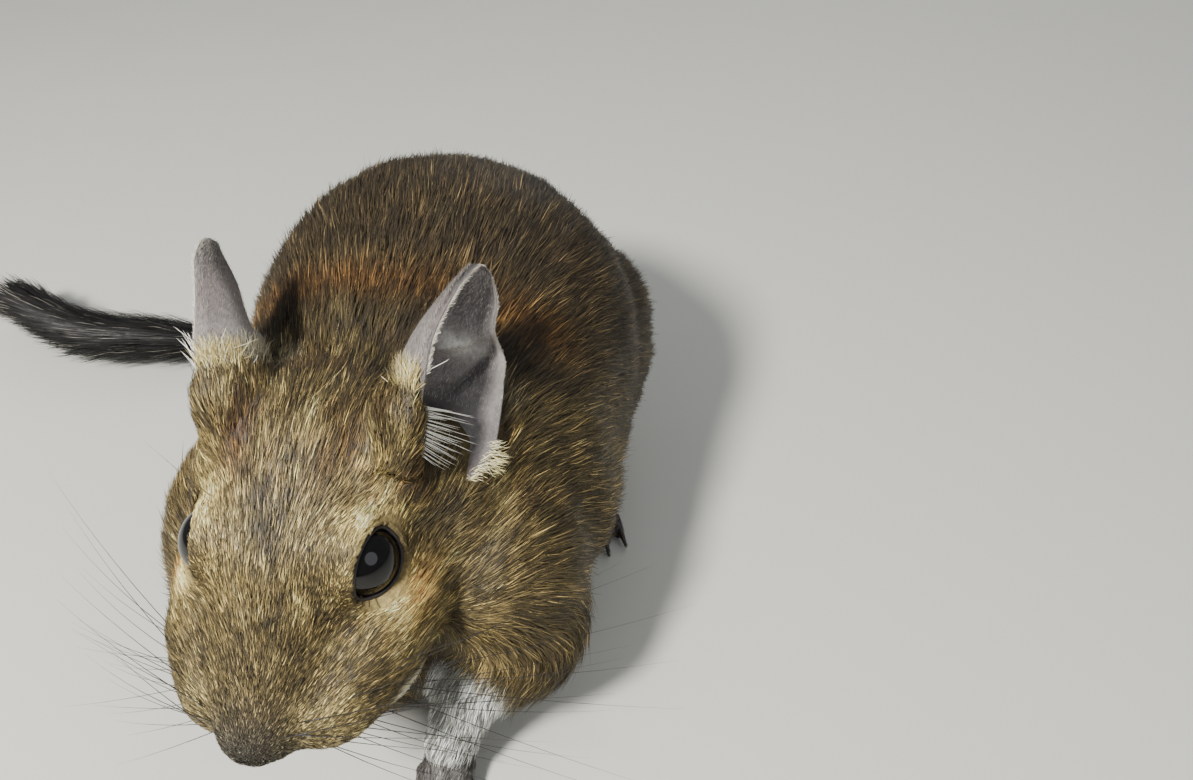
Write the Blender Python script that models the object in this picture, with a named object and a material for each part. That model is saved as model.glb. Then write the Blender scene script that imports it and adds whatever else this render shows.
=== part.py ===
"""A life-size degu crouching on all fours, its head lowered and its tail curled round to its right.

Metres, +Z up. The animal faces -Y, its left side is +X, and its feet and tail rest on z = 0.
The flesh is built whole, as rounded masses melted together by a voxel remesh, and then parted by thin cuts.
Sizes are written in millimetres and turned into metres by the helpers.
"""

import math
import random

import bmesh
import bpy
from mathutils import Matrix, Vector
from mathutils.bvhtree import BVHTree

MM = 0.001
GAP = 0.30
LEFT = 1
RIGHT = -1
SIDES = {"left": LEFT, "right": RIGHT}

# Trunk: the spine bows to the animal's left, so its middle line is a parabola across the floor
BOW_PEAK_X = 6.0
BOW_PEAK_Y = -8.0
BOW_BEND = 0.0042
TRUNK_HALF_WIDTH = 33.0
BACK_HEIGHT = 66.0
BELLY_CLEARANCE = 4.0
RUMP_REACH = 55.0

# Head, in its own frame between the eyes: x left, y back, z up
HEAD_PLACE = (2.1, -47.8, 45.2)
HEAD_PITCH = 21.0
HEAD_ROLL = -1.5
SNOUT_LENGTH = 24.4
NOSE_DROP = 6.9
CHEEK_HALF_WIDTH = 19.0
EYE_RADIUS = 4.8
EYE_SPREAD = 8.9
EYE_AXIS = (0.85, -0.30, 0.43)
LID_THICKNESS = 0.65
LID_HALF_LENGTH = 60.0
LID_UPPER_HEIGHT = 40.0
LID_LOWER_HEIGHT = 47.0
LID_TILT = 12.0
NECK_PLANE_POINT = (2.0, -24.0, 58.0)
NECK_PLANE_AXIS = (0.0, -0.93, 0.37)
NECK_LENGTH = 9.0

# Ears: a leaf rolled toward its opening, in the head's frame, with its widths from root to tip
EAR_ROOT = {"left": (14.1, 15.0, 3.6), "right": (11.5, 15.0, 3.6)}
EAR_TIP = {"left": (19.1, 34.8, 13.2), "right": (17.7, 35.0, 13.6)}
EAR_OPENING = {"left": (0.78, -0.58, 0.24), "right": (0.87, -0.43, 0.24)}
EAR_FRONT_WIDTH = [(0.0, 6.0), (0.18, 9.0), (0.4, 11.0), (0.6, 9.5), (0.8, 6.8), (1.0, 4.4)]
EAR_REAR_WIDTH = [(0.0, 9.0), (0.15, 13.0), (0.3, 13.5), (0.56, 11.0), (0.72, 7.2), (1.0, 3.4)]
EAR_FRONT_CURL = [(0.0, 2.4), (0.3, 2.1), (0.6, 1.6), (1.0, 1.1)]
EAR_REAR_CURL = [(0.0, 1.5), (0.15, 1.25), (0.5, 1.05), (1.0, 0.8)]
EAR_BULGE = [(0.0, 3.0), (0.3, 5.0), (0.6, 4.0), (0.85, 1.5), (1.0, 0.0)]
EAR_SINK = 5.0
EAR_TIP_ROUND = 0.16
EAR_THICKNESS = 0.9

# Limbs and tail
WRIST_HEIGHT = 7.0
FORE_WRIST = {"left": (18.6, -48.5), "right": (-14.5, -36.0)}
FORE_TURN = {"left": -2.0, "right": -12.0}
HIND_HEEL = {"left": (22.0, 24.5), "right": (-25.5, 31.0)}
HIND_TURN = {"left": 20.0, "right": -12.0}
HIND_FOOT_LENGTH = 31.0
SHOULDER_OUTLINE = [(-56, -4), (-56, 15), (-50, 20), (-42, 25.5), (-33, 29.5), (-24, 30), (-16, 27),
                    (-10.5, 20.5), (-9, 12), (-11, 3), (-15, -4)]
TAIL_POINTS = [(-3, 43, 17), (-9, 53, 11), (-20, 60, 5.4), (-33, 56.5, 3.7), (-44, 47, 3.4),
               (-55, 39, 4.6), (-67, 35, 6.2), (-80, 33.5, 6.6), (-92, 35, 6.8), (-103, 38.5, 7.2)]
TAIL_RADIUS_ROOT = 4.0
TAIL_RADIUS_TIP = 2.2
TUFT_LOCKS = 34
TUFT_REACH = 7.0

# How finely the flesh is melted together, and how many triangles it keeps for the head and for the body
MELT_VOXEL = 1.0
MELT_SMOOTHING = 9
FINE_TRIANGLES = 6400
COARSE_TRIANGLES = 3400
FOOT_TRIANGLES = 640
SHARP_ANGLE = 48.0

FUR_BROWN = (0.135, 0.085, 0.045, 1.0)
FUR_BUFF = (0.30, 0.22, 0.12, 1.0)
EAR_GREY = (0.16, 0.145, 0.15, 1.0)
EYE_BLACK = (0.010, 0.009, 0.010, 1.0)
TUFT_BLACK = (0.018, 0.017, 0.018, 1.0)
FOOT_GREY = (0.22, 0.21, 0.20, 1.0)


def mm(*values):
    """A point or a size given in millimetres, in metres."""
    return Vector(values) * MM


def spine_x(y):
    """How far the middle line of the trunk stands to the left at this length along it."""
    return BOW_PEAK_X - BOW_BEND * (y - BOW_PEAK_Y) ** 2


def head_matrix():
    """The head's frame: nose down by the pitch, and rolled a little."""
    pitch = Matrix.Rotation(math.radians(HEAD_PITCH), 4, "X")
    roll = Matrix.Rotation(math.radians(HEAD_ROLL), 4, "Y")
    return Matrix.Translation(mm(*HEAD_PLACE)) @ pitch @ roll


# Building blocks


def clear_scene():
    for old in list(bpy.data.objects):
        bpy.data.objects.remove(old, do_unlink=True)


def link(name, mesh):
    made = bpy.data.objects.new(name, mesh)
    bpy.context.scene.collection.objects.link(made)
    return made


def object_from(name, points, faces):
    """A mesh object with its faces turned outward."""
    mesh = bpy.data.meshes.new(name)
    mesh.from_pydata([tuple(p) for p in points], [], [tuple(f) for f in faces])
    shape = bmesh.new()
    shape.from_mesh(mesh)
    bmesh.ops.recalc_face_normals(shape, faces=shape.faces[:])
    shape.to_mesh(mesh)
    shape.free()
    return link(name, mesh)


def discard(*objects):
    for obj in objects:
        bpy.data.objects.remove(obj, do_unlink=True)


def duplicate(obj, name):
    return link(name, obj.data.copy())


def transformed(obj, matrix):
    obj.data.transform(matrix)
    return obj


def mass(centre, radii, tilt=0.0, turn=0.0, around=24, rows=13):
    """Points of an ellipsoid in millimetres, tilted about X and then turned about Z, in degrees."""
    spin = Matrix.Rotation(math.radians(turn), 3, "Z") @ Matrix.Rotation(math.radians(tilt), 3, "X")
    points = []
    for i in range(rows):
        v = math.pi * i / (rows - 1)
        for j in range(around):
            u = 2 * math.pi * j / around
            unit = Vector((math.sin(v) * math.cos(u), math.sin(v) * math.sin(u), math.cos(v)))
            points.append(Vector(centre) + spin @ Vector(a * b for a, b in zip(unit, radii)))
    return points


def hull_of(name, points):
    """The convex hull of points in millimetres."""
    shape = bmesh.new()
    for point in points:
        shape.verts.new(Vector(point) * MM)
    bmesh.ops.remove_doubles(shape, verts=shape.verts[:], dist=0.01 * MM)
    bmesh.ops.convex_hull(shape, input=shape.verts[:])
    loose = [v for v in shape.verts if not v.link_faces]
    bmesh.ops.delete(shape, geom=loose, context="VERTS")
    bmesh.ops.recalc_face_normals(shape, faces=shape.faces[:])
    mesh = bpy.data.meshes.new(name)
    shape.to_mesh(mesh)
    shape.free()
    return link(name, mesh)


def hull(name, *masses):
    return hull_of(name, [point for points in masses for point in points])


def grown_hull(obj, distance):
    """The convex hull of an object, pushed out on all sides by a distance in millimetres."""
    around = hull_of(obj.name + "_hull", [v.co / MM for v in obj.data.vertices])
    normals = [v.normal.copy() for v in around.data.vertices]
    for vertex, normal in zip(around.data.vertices, normals):
        vertex.co += normal * distance * MM
    return around


def grown(obj, distance):
    """A copy pushed out along its vertex normals by a distance in millimetres."""
    twin = duplicate(obj, obj.name + "_grown")
    normals = [v.normal.copy() for v in twin.data.vertices]
    for vertex, normal in zip(twin.data.vertices, normals):
        vertex.co += normal * distance * MM
    return twin


def apply_modifiers(obj):
    """Replaces the object's mesh by its evaluated one and drops the modifiers."""
    graph = bpy.context.evaluated_depsgraph_get()
    mesh = bpy.data.meshes.new_from_object(obj.evaluated_get(graph))
    obj.modifiers.clear()
    obj.data = mesh
    return obj


def keep_largest(obj):
    """Keeps only the closed surface that encloses the most space."""
    shape = bmesh.new()
    shape.from_mesh(obj.data)
    left = set(shape.faces)
    best, best_volume = [], -1.0
    while left:
        stack = [left.pop()]
        island = [stack[0]]
        while stack:
            for edge in stack.pop().edges:
                for face in edge.link_faces:
                    if face in left:
                        left.remove(face)
                        island.append(face)
                        stack.append(face)
        volume = 0.0
        for face in island:
            corners = [v.co for v in face.verts]
            for a, b in zip(corners[1:], corners[2:]):
                volume += corners[0].dot(a.cross(b)) / 6
        if volume > best_volume:
            best, best_volume = island, volume
    kept = set(best)
    bmesh.ops.delete(shape, geom=[f for f in shape.faces if f not in kept], context="FACES")
    loose = [v for v in shape.verts if not v.link_faces]
    bmesh.ops.delete(shape, geom=loose, context="VERTS")
    shape.to_mesh(obj.data)
    shape.free()
    return obj


def boolean(obj, other, operation):
    """Cuts or joins obj with a list of other objects, which are used up."""
    group = bpy.data.collections.new("operands")
    bpy.context.scene.collection.children.link(group)
    for piece in other:
        bpy.context.scene.collection.objects.unlink(piece)
        group.objects.link(piece)
    step = obj.modifiers.new("join", "BOOLEAN")
    step.operation = operation
    step.solver = "EXACT"
    step.operand_type = "COLLECTION"
    step.collection = group
    apply_modifiers(obj)
    discard(*other)
    bpy.data.collections.remove(group)
    return keep_largest(obj)


def cut(obj, *others):
    return boolean(obj, list(others), "DIFFERENCE")


def join(obj, *others):
    return boolean(obj, list(others), "UNION")


def common(obj, other):
    """The part of obj inside one other object."""
    step = obj.modifiers.new("common", "BOOLEAN")
    step.operation = "INTERSECT"
    step.solver = "EXACT"
    step.object = other
    apply_modifiers(obj)
    discard(other)
    return keep_largest(obj)


def decimate(obj, triangles):
    """Collapses the mesh to about that many triangles."""
    obj.data.calc_loop_triangles()
    now = len(obj.data.loop_triangles)
    if now > triangles:
        step = obj.modifiers.new("thin", "DECIMATE")
        step.ratio = triangles / now
        step.use_collapse_triangulate = True
        apply_modifiers(obj)
    return obj


def box(name, low, high, matrix=None):
    """A box between two corners in millimetres, moved by an optional matrix in metres."""
    corners = [(x, y, z) for x in (low[0], high[0]) for y in (low[1], high[1]) for z in (low[2], high[2])]
    faces = [(0, 1, 3, 2), (4, 6, 7, 5), (0, 4, 5, 1), (2, 3, 7, 6), (0, 2, 6, 4), (1, 5, 7, 3)]
    made = object_from(name, [Vector(c) * MM for c in corners], faces)
    return transformed(made, matrix) if matrix else made


def oval(centre, radii, tilt, around=16):
    """An oval outline in the plane of y and z, in millimetres."""
    spin = Matrix.Rotation(math.radians(tilt), 2)
    angles = [2 * math.pi * i / around for i in range(around)]
    return [Vector(centre) + spin @ Vector((radii[0] * math.cos(u), radii[1] * math.sin(u))) for u in angles]


def side_block(name, side, inner, outline, extra=0.0):
    """A block that takes the outer side of the body inside an outline, grown on all sides by a margin."""
    centre = sum((Vector(p) for p in outline), Vector((0, 0))) / len(outline)
    points = []
    for corner in outline:
        away = Vector(corner) - centre
        y, z = Vector(corner) + away.normalized() * extra * 1.12
        points += [(side * x, y, z) for x in (inner - extra, 60.0)]
    return hull_of(name, points)


def tube(name, path, radii, around=10, flat=1.0, closed=False):
    """A tube along points in millimetres, with a radius at each, its ends rounded off to a point."""
    points, faces = [], []
    count = len(path)
    for i, place in enumerate(path):
        before = Vector(path[(i - 1) % count if closed else max(i - 1, 0)])
        after = Vector(path[(i + 1) % count if closed else min(i + 1, count - 1)])
        along = (after - before).normalized()
        across = along.cross(Vector((0, 0, 1)))
        across = across.normalized() if across.length > 0.1 else Vector((1, 0, 0))
        up = across.cross(along)
        for j in range(around):
            u = 2 * math.pi * j / around
            ring = across * math.cos(u) + up * math.sin(u) * flat
            points.append((Vector(place) + ring * radii[i]) * MM)
    spans = count if closed else count - 1
    for i in range(spans):
        a, b = i * around, (i + 1) % count * around
        for j in range(around):
            k = (j + 1) % around
            faces.append((a + j, a + k, b + k, b + j))
    if not closed:
        faces.append(tuple(range(around)))
        faces.append(tuple(range((count - 1) * around, count * around)))
    return object_from(name, points, faces)


def smooth_path(points, steps):
    """A Catmull-Rom curve through points, in millimetres, with a number of steps for each span."""
    ends = [2 * Vector(points[0]) - Vector(points[1])]
    tail = [2 * Vector(points[-1]) - Vector(points[-2])]
    knots = ends + [Vector(p) for p in points] + tail
    path = []
    for i in range(1, len(knots) - 2):
        a, b, c, d = knots[i - 1:i + 3]
        square, cube = 2 * a - 5 * b + 4 * c - d, 3 * b - a - 3 * c + d
        for k in range(steps):
            t = k / steps
            path.append((2 * b + (c - a) * t + square * t ** 2 + cube * t ** 3) / 2)
    path.append(Vector(points[-1]))
    return path


def material(name, colour, roughness):
    made = bpy.data.materials.new(name)
    made.use_nodes = True
    shader = made.node_tree.nodes["Principled BSDF"]
    shader.inputs["Base Color"].default_value = colour
    shader.inputs["Roughness"].default_value = roughness
    return made


# The flesh: named masses, melted into one surface


def trunk_masses():
    """Rump, loin, belly and chest, joined along the arched and bowed back."""
    half = TRUNK_HALF_WIDTH
    top = BACK_HEIGHT
    rump = mass((spine_x(29) - 1, RUMP_REACH - 26, 29), (half - 3, 26, 26))
    loin = mass((spine_x(9), 9, 34), (half - 1, 30, top - 34))
    belly = mass((spine_x(4) - 1.4, 5, 21), (half - 1, 36, 21 - BELLY_CLEARANCE))
    flank = mass((spine_x(-14) + 1.0, -19, 25), (half - 1.6, 17, 14.0))
    back = mass((spine_x(-12), -12, 36), (28.5, 24, 25))
    withers = mass((spine_x(-24), -24, 34), (26, 17, 22))
    chest = mass((3.0, -34, 15.5), (15, 16, 13.5))
    return [
        hull("back", rump, loin, belly),
        hull("ribs", loin, belly, back),
        hull("flank", belly, flank, back),
        hull("shoulders", back, withers),
        hull("front", withers, chest, flank),
    ]


def haunch_masses(side):
    """Thigh and knee of one hind leg, folded against the flank, and the shank down to the heel."""
    middle = spine_x(20)
    thigh = mass((middle + side * 21.0 + 0.8, 23, 25), (13, 24, 19.5), tilt=-10)
    knee = mass((middle + side * 22.6, 7, 19), (8.5, 12, 11))
    heel = mass((middle + side * 21.5, 34, 10), (7, 9, 7))
    return [hull("thigh", thigh, knee), hull("shank", knee, heel)]


def arm_masses(name, side):
    """Shoulder, elbow and forearm down to the wrist."""
    x, y = FORE_WRIST[name]
    shoulder = mass((4.5 + side * 19.3, -29, 27), (12.0, 17, 17))
    elbow = mass((5.0 + side * 22.6, -34, 19), (9.2, 12, 11))
    forearm = mass((x + side * 3.2, y + 4.5, 16), (5.4, 5.4, 5))
    wrist = mass((x, y + 0.6, 7.2), (4.4, 4.0, 3.8))
    return [
        hull("upper_arm", shoulder, elbow),
        hull("lower_arm", elbow, forearm),
        hull("cuff", forearm, wrist),
    ]


def neck_masses():
    """The thick neck, fuller on the outer side of the bow, between the cheeks and the shoulders."""
    scruff = mass((2.5, -29, 43), (17, 12, 15.5))
    left = mass((13, -33, 34), (14, 12, 16))
    right = mass((-7.5, -31, 34), (12, 12, 15))
    return [hull("scruff", scruff, left), hull("scruff_right", scruff, right)]


def head_masses():
    """The head in its own frame, then placed: skull, snout, cheeks, brows, whisker pads and jaw."""
    brain = mass((0, 12, -2.5), (14.0, 14, 12))
    forehead = mass((0, 1, -2.0), (10.4, 12, 9.8))
    bridge = mass((0, -10, -4.6), (8.0, 8, 7.2))
    nose = mass((0, 4.4 - SNOUT_LENGTH, -NOSE_DROP), (5.0, 4.4, 4.6))
    chin = mass((0, -14.5, -14.2), (4.4, 5, 3.6))
    throat = mass((0, 5, -15), (12, 13, 8))
    nape = mass((0, 22, -9), (15, 9, 14))
    parts = [
        hull("skull", brain, forehead),
        hull("snout", forehead, bridge),
        hull("snout_tip", bridge, nose),
        hull("jaw", chin, throat),
        hull("occiput", brain, throat, nape),
    ]
    for side in SIDES.values():
        cheek = mass((side * (CHEEK_HALF_WIDTH - 8.5), 6, -10), (8.5, 13, 9.5), turn=side * -5)
        muzzle = mass((side * 8.8, -8.5, -9.4), (8.0, 6.8, 7.6))
        pad = mass((side * 6.2, -14.8, -9.2), (6.6, 6.2, 5.6))
        parts += [hull("cheek", cheek, muzzle), hull("muzzle", muzzle, pad)]
        orbit = mass((side * EYE_SPREAD, 0, 0), (EYE_RADIUS + 0.4,) * 3)
        temple = mass((side * 11.0, 9.5, -1.0), (5.0, 6, 5.4))
        ear_base = mass((side * 15.8, 12.0, -6.0), (4.0, 5.5, 4.4))
        parts += [hull("orbit", orbit), hull("ear_base", temple, ear_base)]
    return [transformed(part, head_matrix()) for part in parts]


def melt(name, parts):
    """Joins overlapping closed shells into one smooth surface."""
    points, faces = [], []
    for part in parts:
        start = len(points)
        points += [v.co.copy() for v in part.data.vertices]
        faces += [[start + i for i in face.vertices] for face in part.data.polygons]
    discard(*parts)
    flesh = object_from(name, points, faces)
    melting = flesh.modifiers.new("melt", "REMESH")
    melting.mode = "VOXEL"
    melting.voxel_size = MELT_VOXEL * MM
    soften = flesh.modifiers.new("soften", "SMOOTH")
    soften.factor = 0.5
    soften.iterations = MELT_SMOOTHING
    apply_modifiers(flesh)
    return keep_largest(flesh)


# The head's fine forms


def eye_frame(side):
    """The eye's own frame in metres: x along the lids toward the ear, y up across them, z out of the eye."""
    out = Vector(EYE_AXIS).normalized()
    out.x *= side
    tilt = math.radians(LID_TILT)
    along = Vector((0, math.cos(tilt), math.sin(tilt)))
    along = (along - out * along.dot(out)).normalized()
    up = out.cross(along)
    local = Matrix((along, up, out)).transposed().to_4x4()
    return head_matrix() @ Matrix.Translation(mm(side * EYE_SPREAD, 0, 0)) @ local


def ball(name, radius, around=16, rows=9):
    return hull_of(name, mass((0, 0, 0), (radius, radius, radius), around=around, rows=rows))


def lid_opening(name):
    """A flaring almond block, its narrow end at the middle of the eye, that opens the lids."""
    points = [(0, 0, 0)]
    for i in range(20):
        u = 2 * math.pi * i / 20
        lift = 0.80 + 0.20 * math.sin(u) ** 2 + 0.08 * math.cos(u)
        across = math.radians(LID_HALF_LENGTH) * math.cos(u)
        half_height = LID_UPPER_HEIGHT if i < 10 else LID_LOWER_HEIGHT
        height = math.radians(half_height) * math.sin(u) * lift
        angle = math.hypot(across, height)
        reach = EYE_RADIUS * 2.2
        slope = math.sin(angle) / angle * reach
        points.append((across * slope, height * slope, math.cos(angle) * reach))
    faces = [(0, i, i % 20 + 1) for i in range(1, 21)]
    faces.append(tuple(range(1, 21)))
    return object_from(name, [Vector(p) * MM for p in points], faces)


def add_lids(head, side):
    """A thin dome of lid round the eye, its socket and its almond opening."""
    place = eye_frame(side)
    dome = transformed(ball("dome", EYE_RADIUS + GAP + LID_THICKNESS), place)
    join(head, dome)
    socket = join(ball("socket", EYE_RADIUS + GAP), lid_opening("opening"))
    return cut(head, transformed(socket, place))


def add_nose(head):
    """Two slanting nostrils and the short groove between them and the lips."""
    tip = 1.0 - SNOUT_LENGTH
    for side in SIDES.values():
        start = Vector((side * 1.7, tip - 0.6, -NOSE_DROP - 1.6))
        end = Vector((side * 3.4, tip + 0.9, -NOSE_DROP - 0.2))
        nostril = tube("nostril", [start, (start + end) / 2, end], [0.45, 0.75, 0.4], around=8)
        cut(head, transformed(nostril, head_matrix()))
    return head


def surface_path(obj, starts, toward, sink):
    """Points of a surface met from starts along a direction, in the head's frame, sunk a little below it."""
    matrix = head_matrix()
    back = matrix.inverted()
    tree = BVHTree.FromPolygons([v.co for v in obj.data.vertices], [p.vertices for p in obj.data.polygons])
    path = []
    for start, aim in zip(starts, toward):
        direction = matrix.to_3x3() @ Vector(aim).normalized()
        hit = tree.ray_cast(matrix @ mm(*start), direction)[0]
        if hit is not None:
            path.append(back @ (hit + direction * sink * MM) / MM)
    return path


def add_mouth(head):
    """The groove under the nose and the mouth line that runs back on both sides below the whisker pads."""
    starts, aims = [], []
    for i in range(-6, 7):
        swing = math.radians(i * 11)
        depth = -13.4 - 1.6 * math.sin(abs(swing)) + 0.6 * math.cos(swing)
        starts.append((30 * math.sin(swing), -14.0 - 30 * math.cos(swing), depth))
        aims.append((-math.sin(swing), math.cos(swing), 0.0))
    path = surface_path(head, starts, aims, 0.05)
    line = tube("mouth", path, [0.5] * len(path), around=6)
    cut(head, transformed(line, head_matrix()))
    rows = [(0, -50, -NOSE_DROP - 2.2 - 0.9 * i) for i in range(5)]
    path = surface_path(head, rows, [(0, 1, 0)] * len(rows), 0.0)
    groove = tube("philtrum", path, [0.40] * len(path), around=6)
    return cut(head, transformed(groove, head_matrix()))


def profile(keys, t):
    """The value between neighbouring keys, with its corners rounded off."""
    total = 0.0
    for offset, share in ((-0.08, 0.25), (0.0, 0.5), (0.08, 0.25)):
        at = min(max(t + offset, keys[0][0]), keys[-1][0])
        for (low, start), (high, end) in zip(keys, keys[1:]):
            if low <= at <= high:
                total += share * (start + (end - start) * (at - low) / (high - low))
                break
    return total


def ear_section(t, columns):
    """Places across the ear and toward its opening, and the direction inward, from front to rear margin."""
    round_off = math.sqrt(max(1 - max((t - 1 + EAR_TIP_ROUND) / EAR_TIP_ROUND, 0) ** 2, 0.01))
    section = []
    for j in range(columns):
        s = 2 * j / (columns - 1) - 1
        front = s < 0
        width = profile(EAR_FRONT_WIDTH if front else EAR_REAR_WIDTH, t) * round_off
        curl = profile(EAR_FRONT_CURL if front else EAR_REAR_CURL, t)
        lobe = 0.06 * math.exp(-((t - 0.62) / 0.05) ** 2) - 0.06 * math.exp(-((t - 0.76) / 0.06) ** 2)
        angle = curl * s * (1 + (lobe if s > 0.6 else 0))
        radius = width / curl
        fold = 0.8 * math.exp(-((s - 0.45 - 0.9 * (t - 0.45)) / 0.16) ** 2) * math.sin(math.pi * t) ** 2
        across, inward = radius * math.sin(angle), radius * (1 - math.cos(angle))
        direction = (-math.sin(angle), math.cos(angle))
        section.append((across + direction[0] * fold, inward + direction[1] * fold, direction))
    return section


def make_ear(key, side):
    """A cupped leaf with a curled front margin, a lobed rear one and a fold across its hollow."""
    root, tip = Vector(EAR_ROOT[key]), Vector(EAR_TIP[key])
    axis = (tip - root).normalized()
    length = (tip - root).length + EAR_SINK
    opening = Vector(EAR_OPENING[key])
    opening = (opening - axis * opening.dot(axis)).normalized()
    across = axis.cross(opening)
    rows, columns = 13, 13
    inner, outer = [], []
    for i in range(rows):
        t = math.sin(math.pi / 2 * i / (rows - 1)) ** 0.9
        middle = root + axis * (length * t - EAR_SINK) - opening * profile(EAR_BULGE, t)
        for j, (x, y, direction) in enumerate(ear_section(t, columns)):
            place = middle + across * x + opening * y
            edge = 0.55 if j in (0, columns - 1) else 1.0
            out = -(across * direction[0] + opening * direction[1]) * EAR_THICKNESS * edge
            inner.append(place)
            outer.append(place + out)
    points = inner + outer
    half = rows * columns
    faces = []
    for i in range(rows - 1):
        for j in range(columns - 1):
            a, b = i * columns + j, (i + 1) * columns + j
            faces += [(a, a + 1, b + 1), (a, b + 1, b)]
            faces += [(half + a, half + b + 1, half + a + 1), (half + a, half + b, half + b + 1)]
        for j in (0, columns - 1):
            a, b = i * columns + j, (i + 1) * columns + j
            faces.append((a, b, half + b, half + a))
    for j in range(columns - 1):
        for i in (0, rows - 1):
            a = i * columns + j
            faces.append((a, a + 1, half + a + 1, half + a))
    points = [Vector((p.x * side, p.y, p.z)) * MM for p in points]
    return transformed(object_from("ear_" + key, points, faces), head_matrix())


# Feet and tail


def claw(start, heading, length, radius):
    """A small curved claw that ends just above the floor."""
    ahead = Vector((math.sin(heading), -math.cos(heading), 0))
    path = []
    for i in range(3):
        t = i / 2
        drop = 0.25 + (start[2] - 0.25) * (1 - t ** 2.0)
        place = Vector((start[0], start[1], 0)) + ahead * length * t
        path.append(Vector((place.x, place.y, max(drop, radius * (1 - 0.8 * t)))))
    return tube("claw", path, [radius, radius * 0.7, radius * 0.2], around=5)


def toe(root, heading, length, radius, claw_length):
    """One toe as the hull of its knuckle and pad, with its claw."""
    ahead = Vector((math.sin(heading), -math.cos(heading), 0))
    base = Vector(root)
    bend = base + ahead * length * 0.55 + Vector((0, 0, 0.5))
    tip = base + ahead * length
    tip.z = radius * 0.85
    small = dict(around=7, rows=5)
    parts = [
        mass(base, (radius, radius, radius), **small),
        mass(bend, (radius * 0.95, radius * 0.95, radius * 0.95), **small),
        mass(tip, (radius * 1.0, radius * 1.15, radius * 0.9), **small),
    ]
    nail = tip + ahead * radius * 0.55 + Vector((0, 0, radius * 0.45))
    return [hull("toe", *parts), claw(nail, heading, claw_length, radius * 0.50)]


def on_floor(obj):
    """Cuts away whatever lies below the floor."""
    return cut(obj, box("floor", (-200, -200, -30), (200, 200, 0)))


def make_fore_foot(name, key, side):
    """Four toes and a stub of a thumb on a small palm."""
    small = dict(around=10, rows=6)
    heel = mass((0, 0, 3.4), (3.9, 3.4, 3.8), **small)
    knuckles = mass((0, -3.8, 2.0), (4.6, 3.5, 2.3), **small)
    wrist = mass((0, 0.7, 8.5), (4.2, 3.8, 3.0), **small)
    palm = hull("palm", heel, knuckles)
    cuff = hull("cuff", heel, wrist)
    parts = [cuff]
    for place, spread, reach in ((-3.4, -24, 4.6), (-1.2, -8, 5.8), (1.2, 8, 5.6), (3.4, 26, 4.4)):
        parts += toe((side * place, -5.2, 1.9), math.radians(side * spread), reach, 1.25, 2.6)
    parts.append(hull("thumb", mass((side * -4.1, -1.8, 1.7), (1.1, 1.3, 1.1), around=7, rows=5)))
    foot = decimate(join(palm, *parts), FOOT_TRIANGLES)
    foot.name = name
    cut(foot, box("trim", (-20, -20, WRIST_HEIGHT - GAP / 2), (20, 20, 30)))
    x, y = FORE_WRIST[key]
    turn = Matrix.Rotation(math.radians(FORE_TURN[key]), 4, "Z")
    return on_floor(transformed(foot, Matrix.Translation(mm(x, y, 0)) @ turn))


def make_hind_foot(name, key, side):
    """A long sole from the heel to five toes, the inner one small."""
    small = dict(around=10, rows=6)
    length = HIND_FOOT_LENGTH
    heel = mass((0, 0, 2.9), (2.9, 3.6, 3.1), **small)
    arch = mass((0, -0.38 * length, 2.5), (3.2, 4.0, 2.7), **small)
    ball_pad = mass((side * 0.3, -0.60 * length, 2.4), (4.6, 4.0, 2.6), **small)
    foot = hull("sole", heel, arch)
    parts = [hull("ball", arch, ball_pad)]
    toes = ((-3.3, -12, 6.2), (-1.3, -3, 7.6), (1.0, 5, 7.8), (3.2, 13, 6.4))
    for place, spread, reach in toes:
        root = (side * place, -0.66 * length, 2.0)
        parts += toe(root, math.radians(side * spread), reach, 1.35, 3.0)
    parts += toe((side * -3.9, -0.52 * length, 1.9), math.radians(side * -16), 4.4, 1.15, 2.2)
    decimate(join(foot, *parts), FOOT_TRIANGLES)
    foot.name = name
    x, y = HIND_HEEL[key]
    turn = Matrix.Rotation(math.radians(HIND_TURN[key]), 4, "Z")
    return on_floor(transformed(foot, Matrix.Translation(mm(x, y, 0)) @ turn))


def tail_radius(t):
    return TAIL_RADIUS_ROOT + (TAIL_RADIUS_TIP - TAIL_RADIUS_ROOT) * t ** 0.8


def tail_length(name, path, first, last, around=12):
    """One length of the tail between two shares of its path, a little longer than it will be cut to."""
    count = len(path) - 1
    low, high = max(round(first * count) - 1, 0), round(last * count) + 1
    part = path[low:high + 1]
    return tube(name, part, [tail_radius(i / count) for i in range(low, high + 1)], around=around)


def separate(path, root, middle, tuft):
    """Trims the lengths of the tail to planes across it, so that a thin gap stays between them."""
    count = len(path) - 1
    for share, near, far in ((0.36, root, middle), (0.60, middle, tuft)):
        index = round(share * count)
        along = (path[index + 1] - path[index - 1]).normalized()
        turn = along.to_track_quat("Z", "Y").to_matrix().to_4x4()
        frame = Matrix.Translation(path[index] * MM) @ turn
        cut(near, box("beyond", (-9, -9, -GAP / 2), (9, 9, 20), frame))
        cut(far, box("before", (-9, -9, -20), (9, 9, GAP / 2), frame))
    return root, middle, tuft


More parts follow.
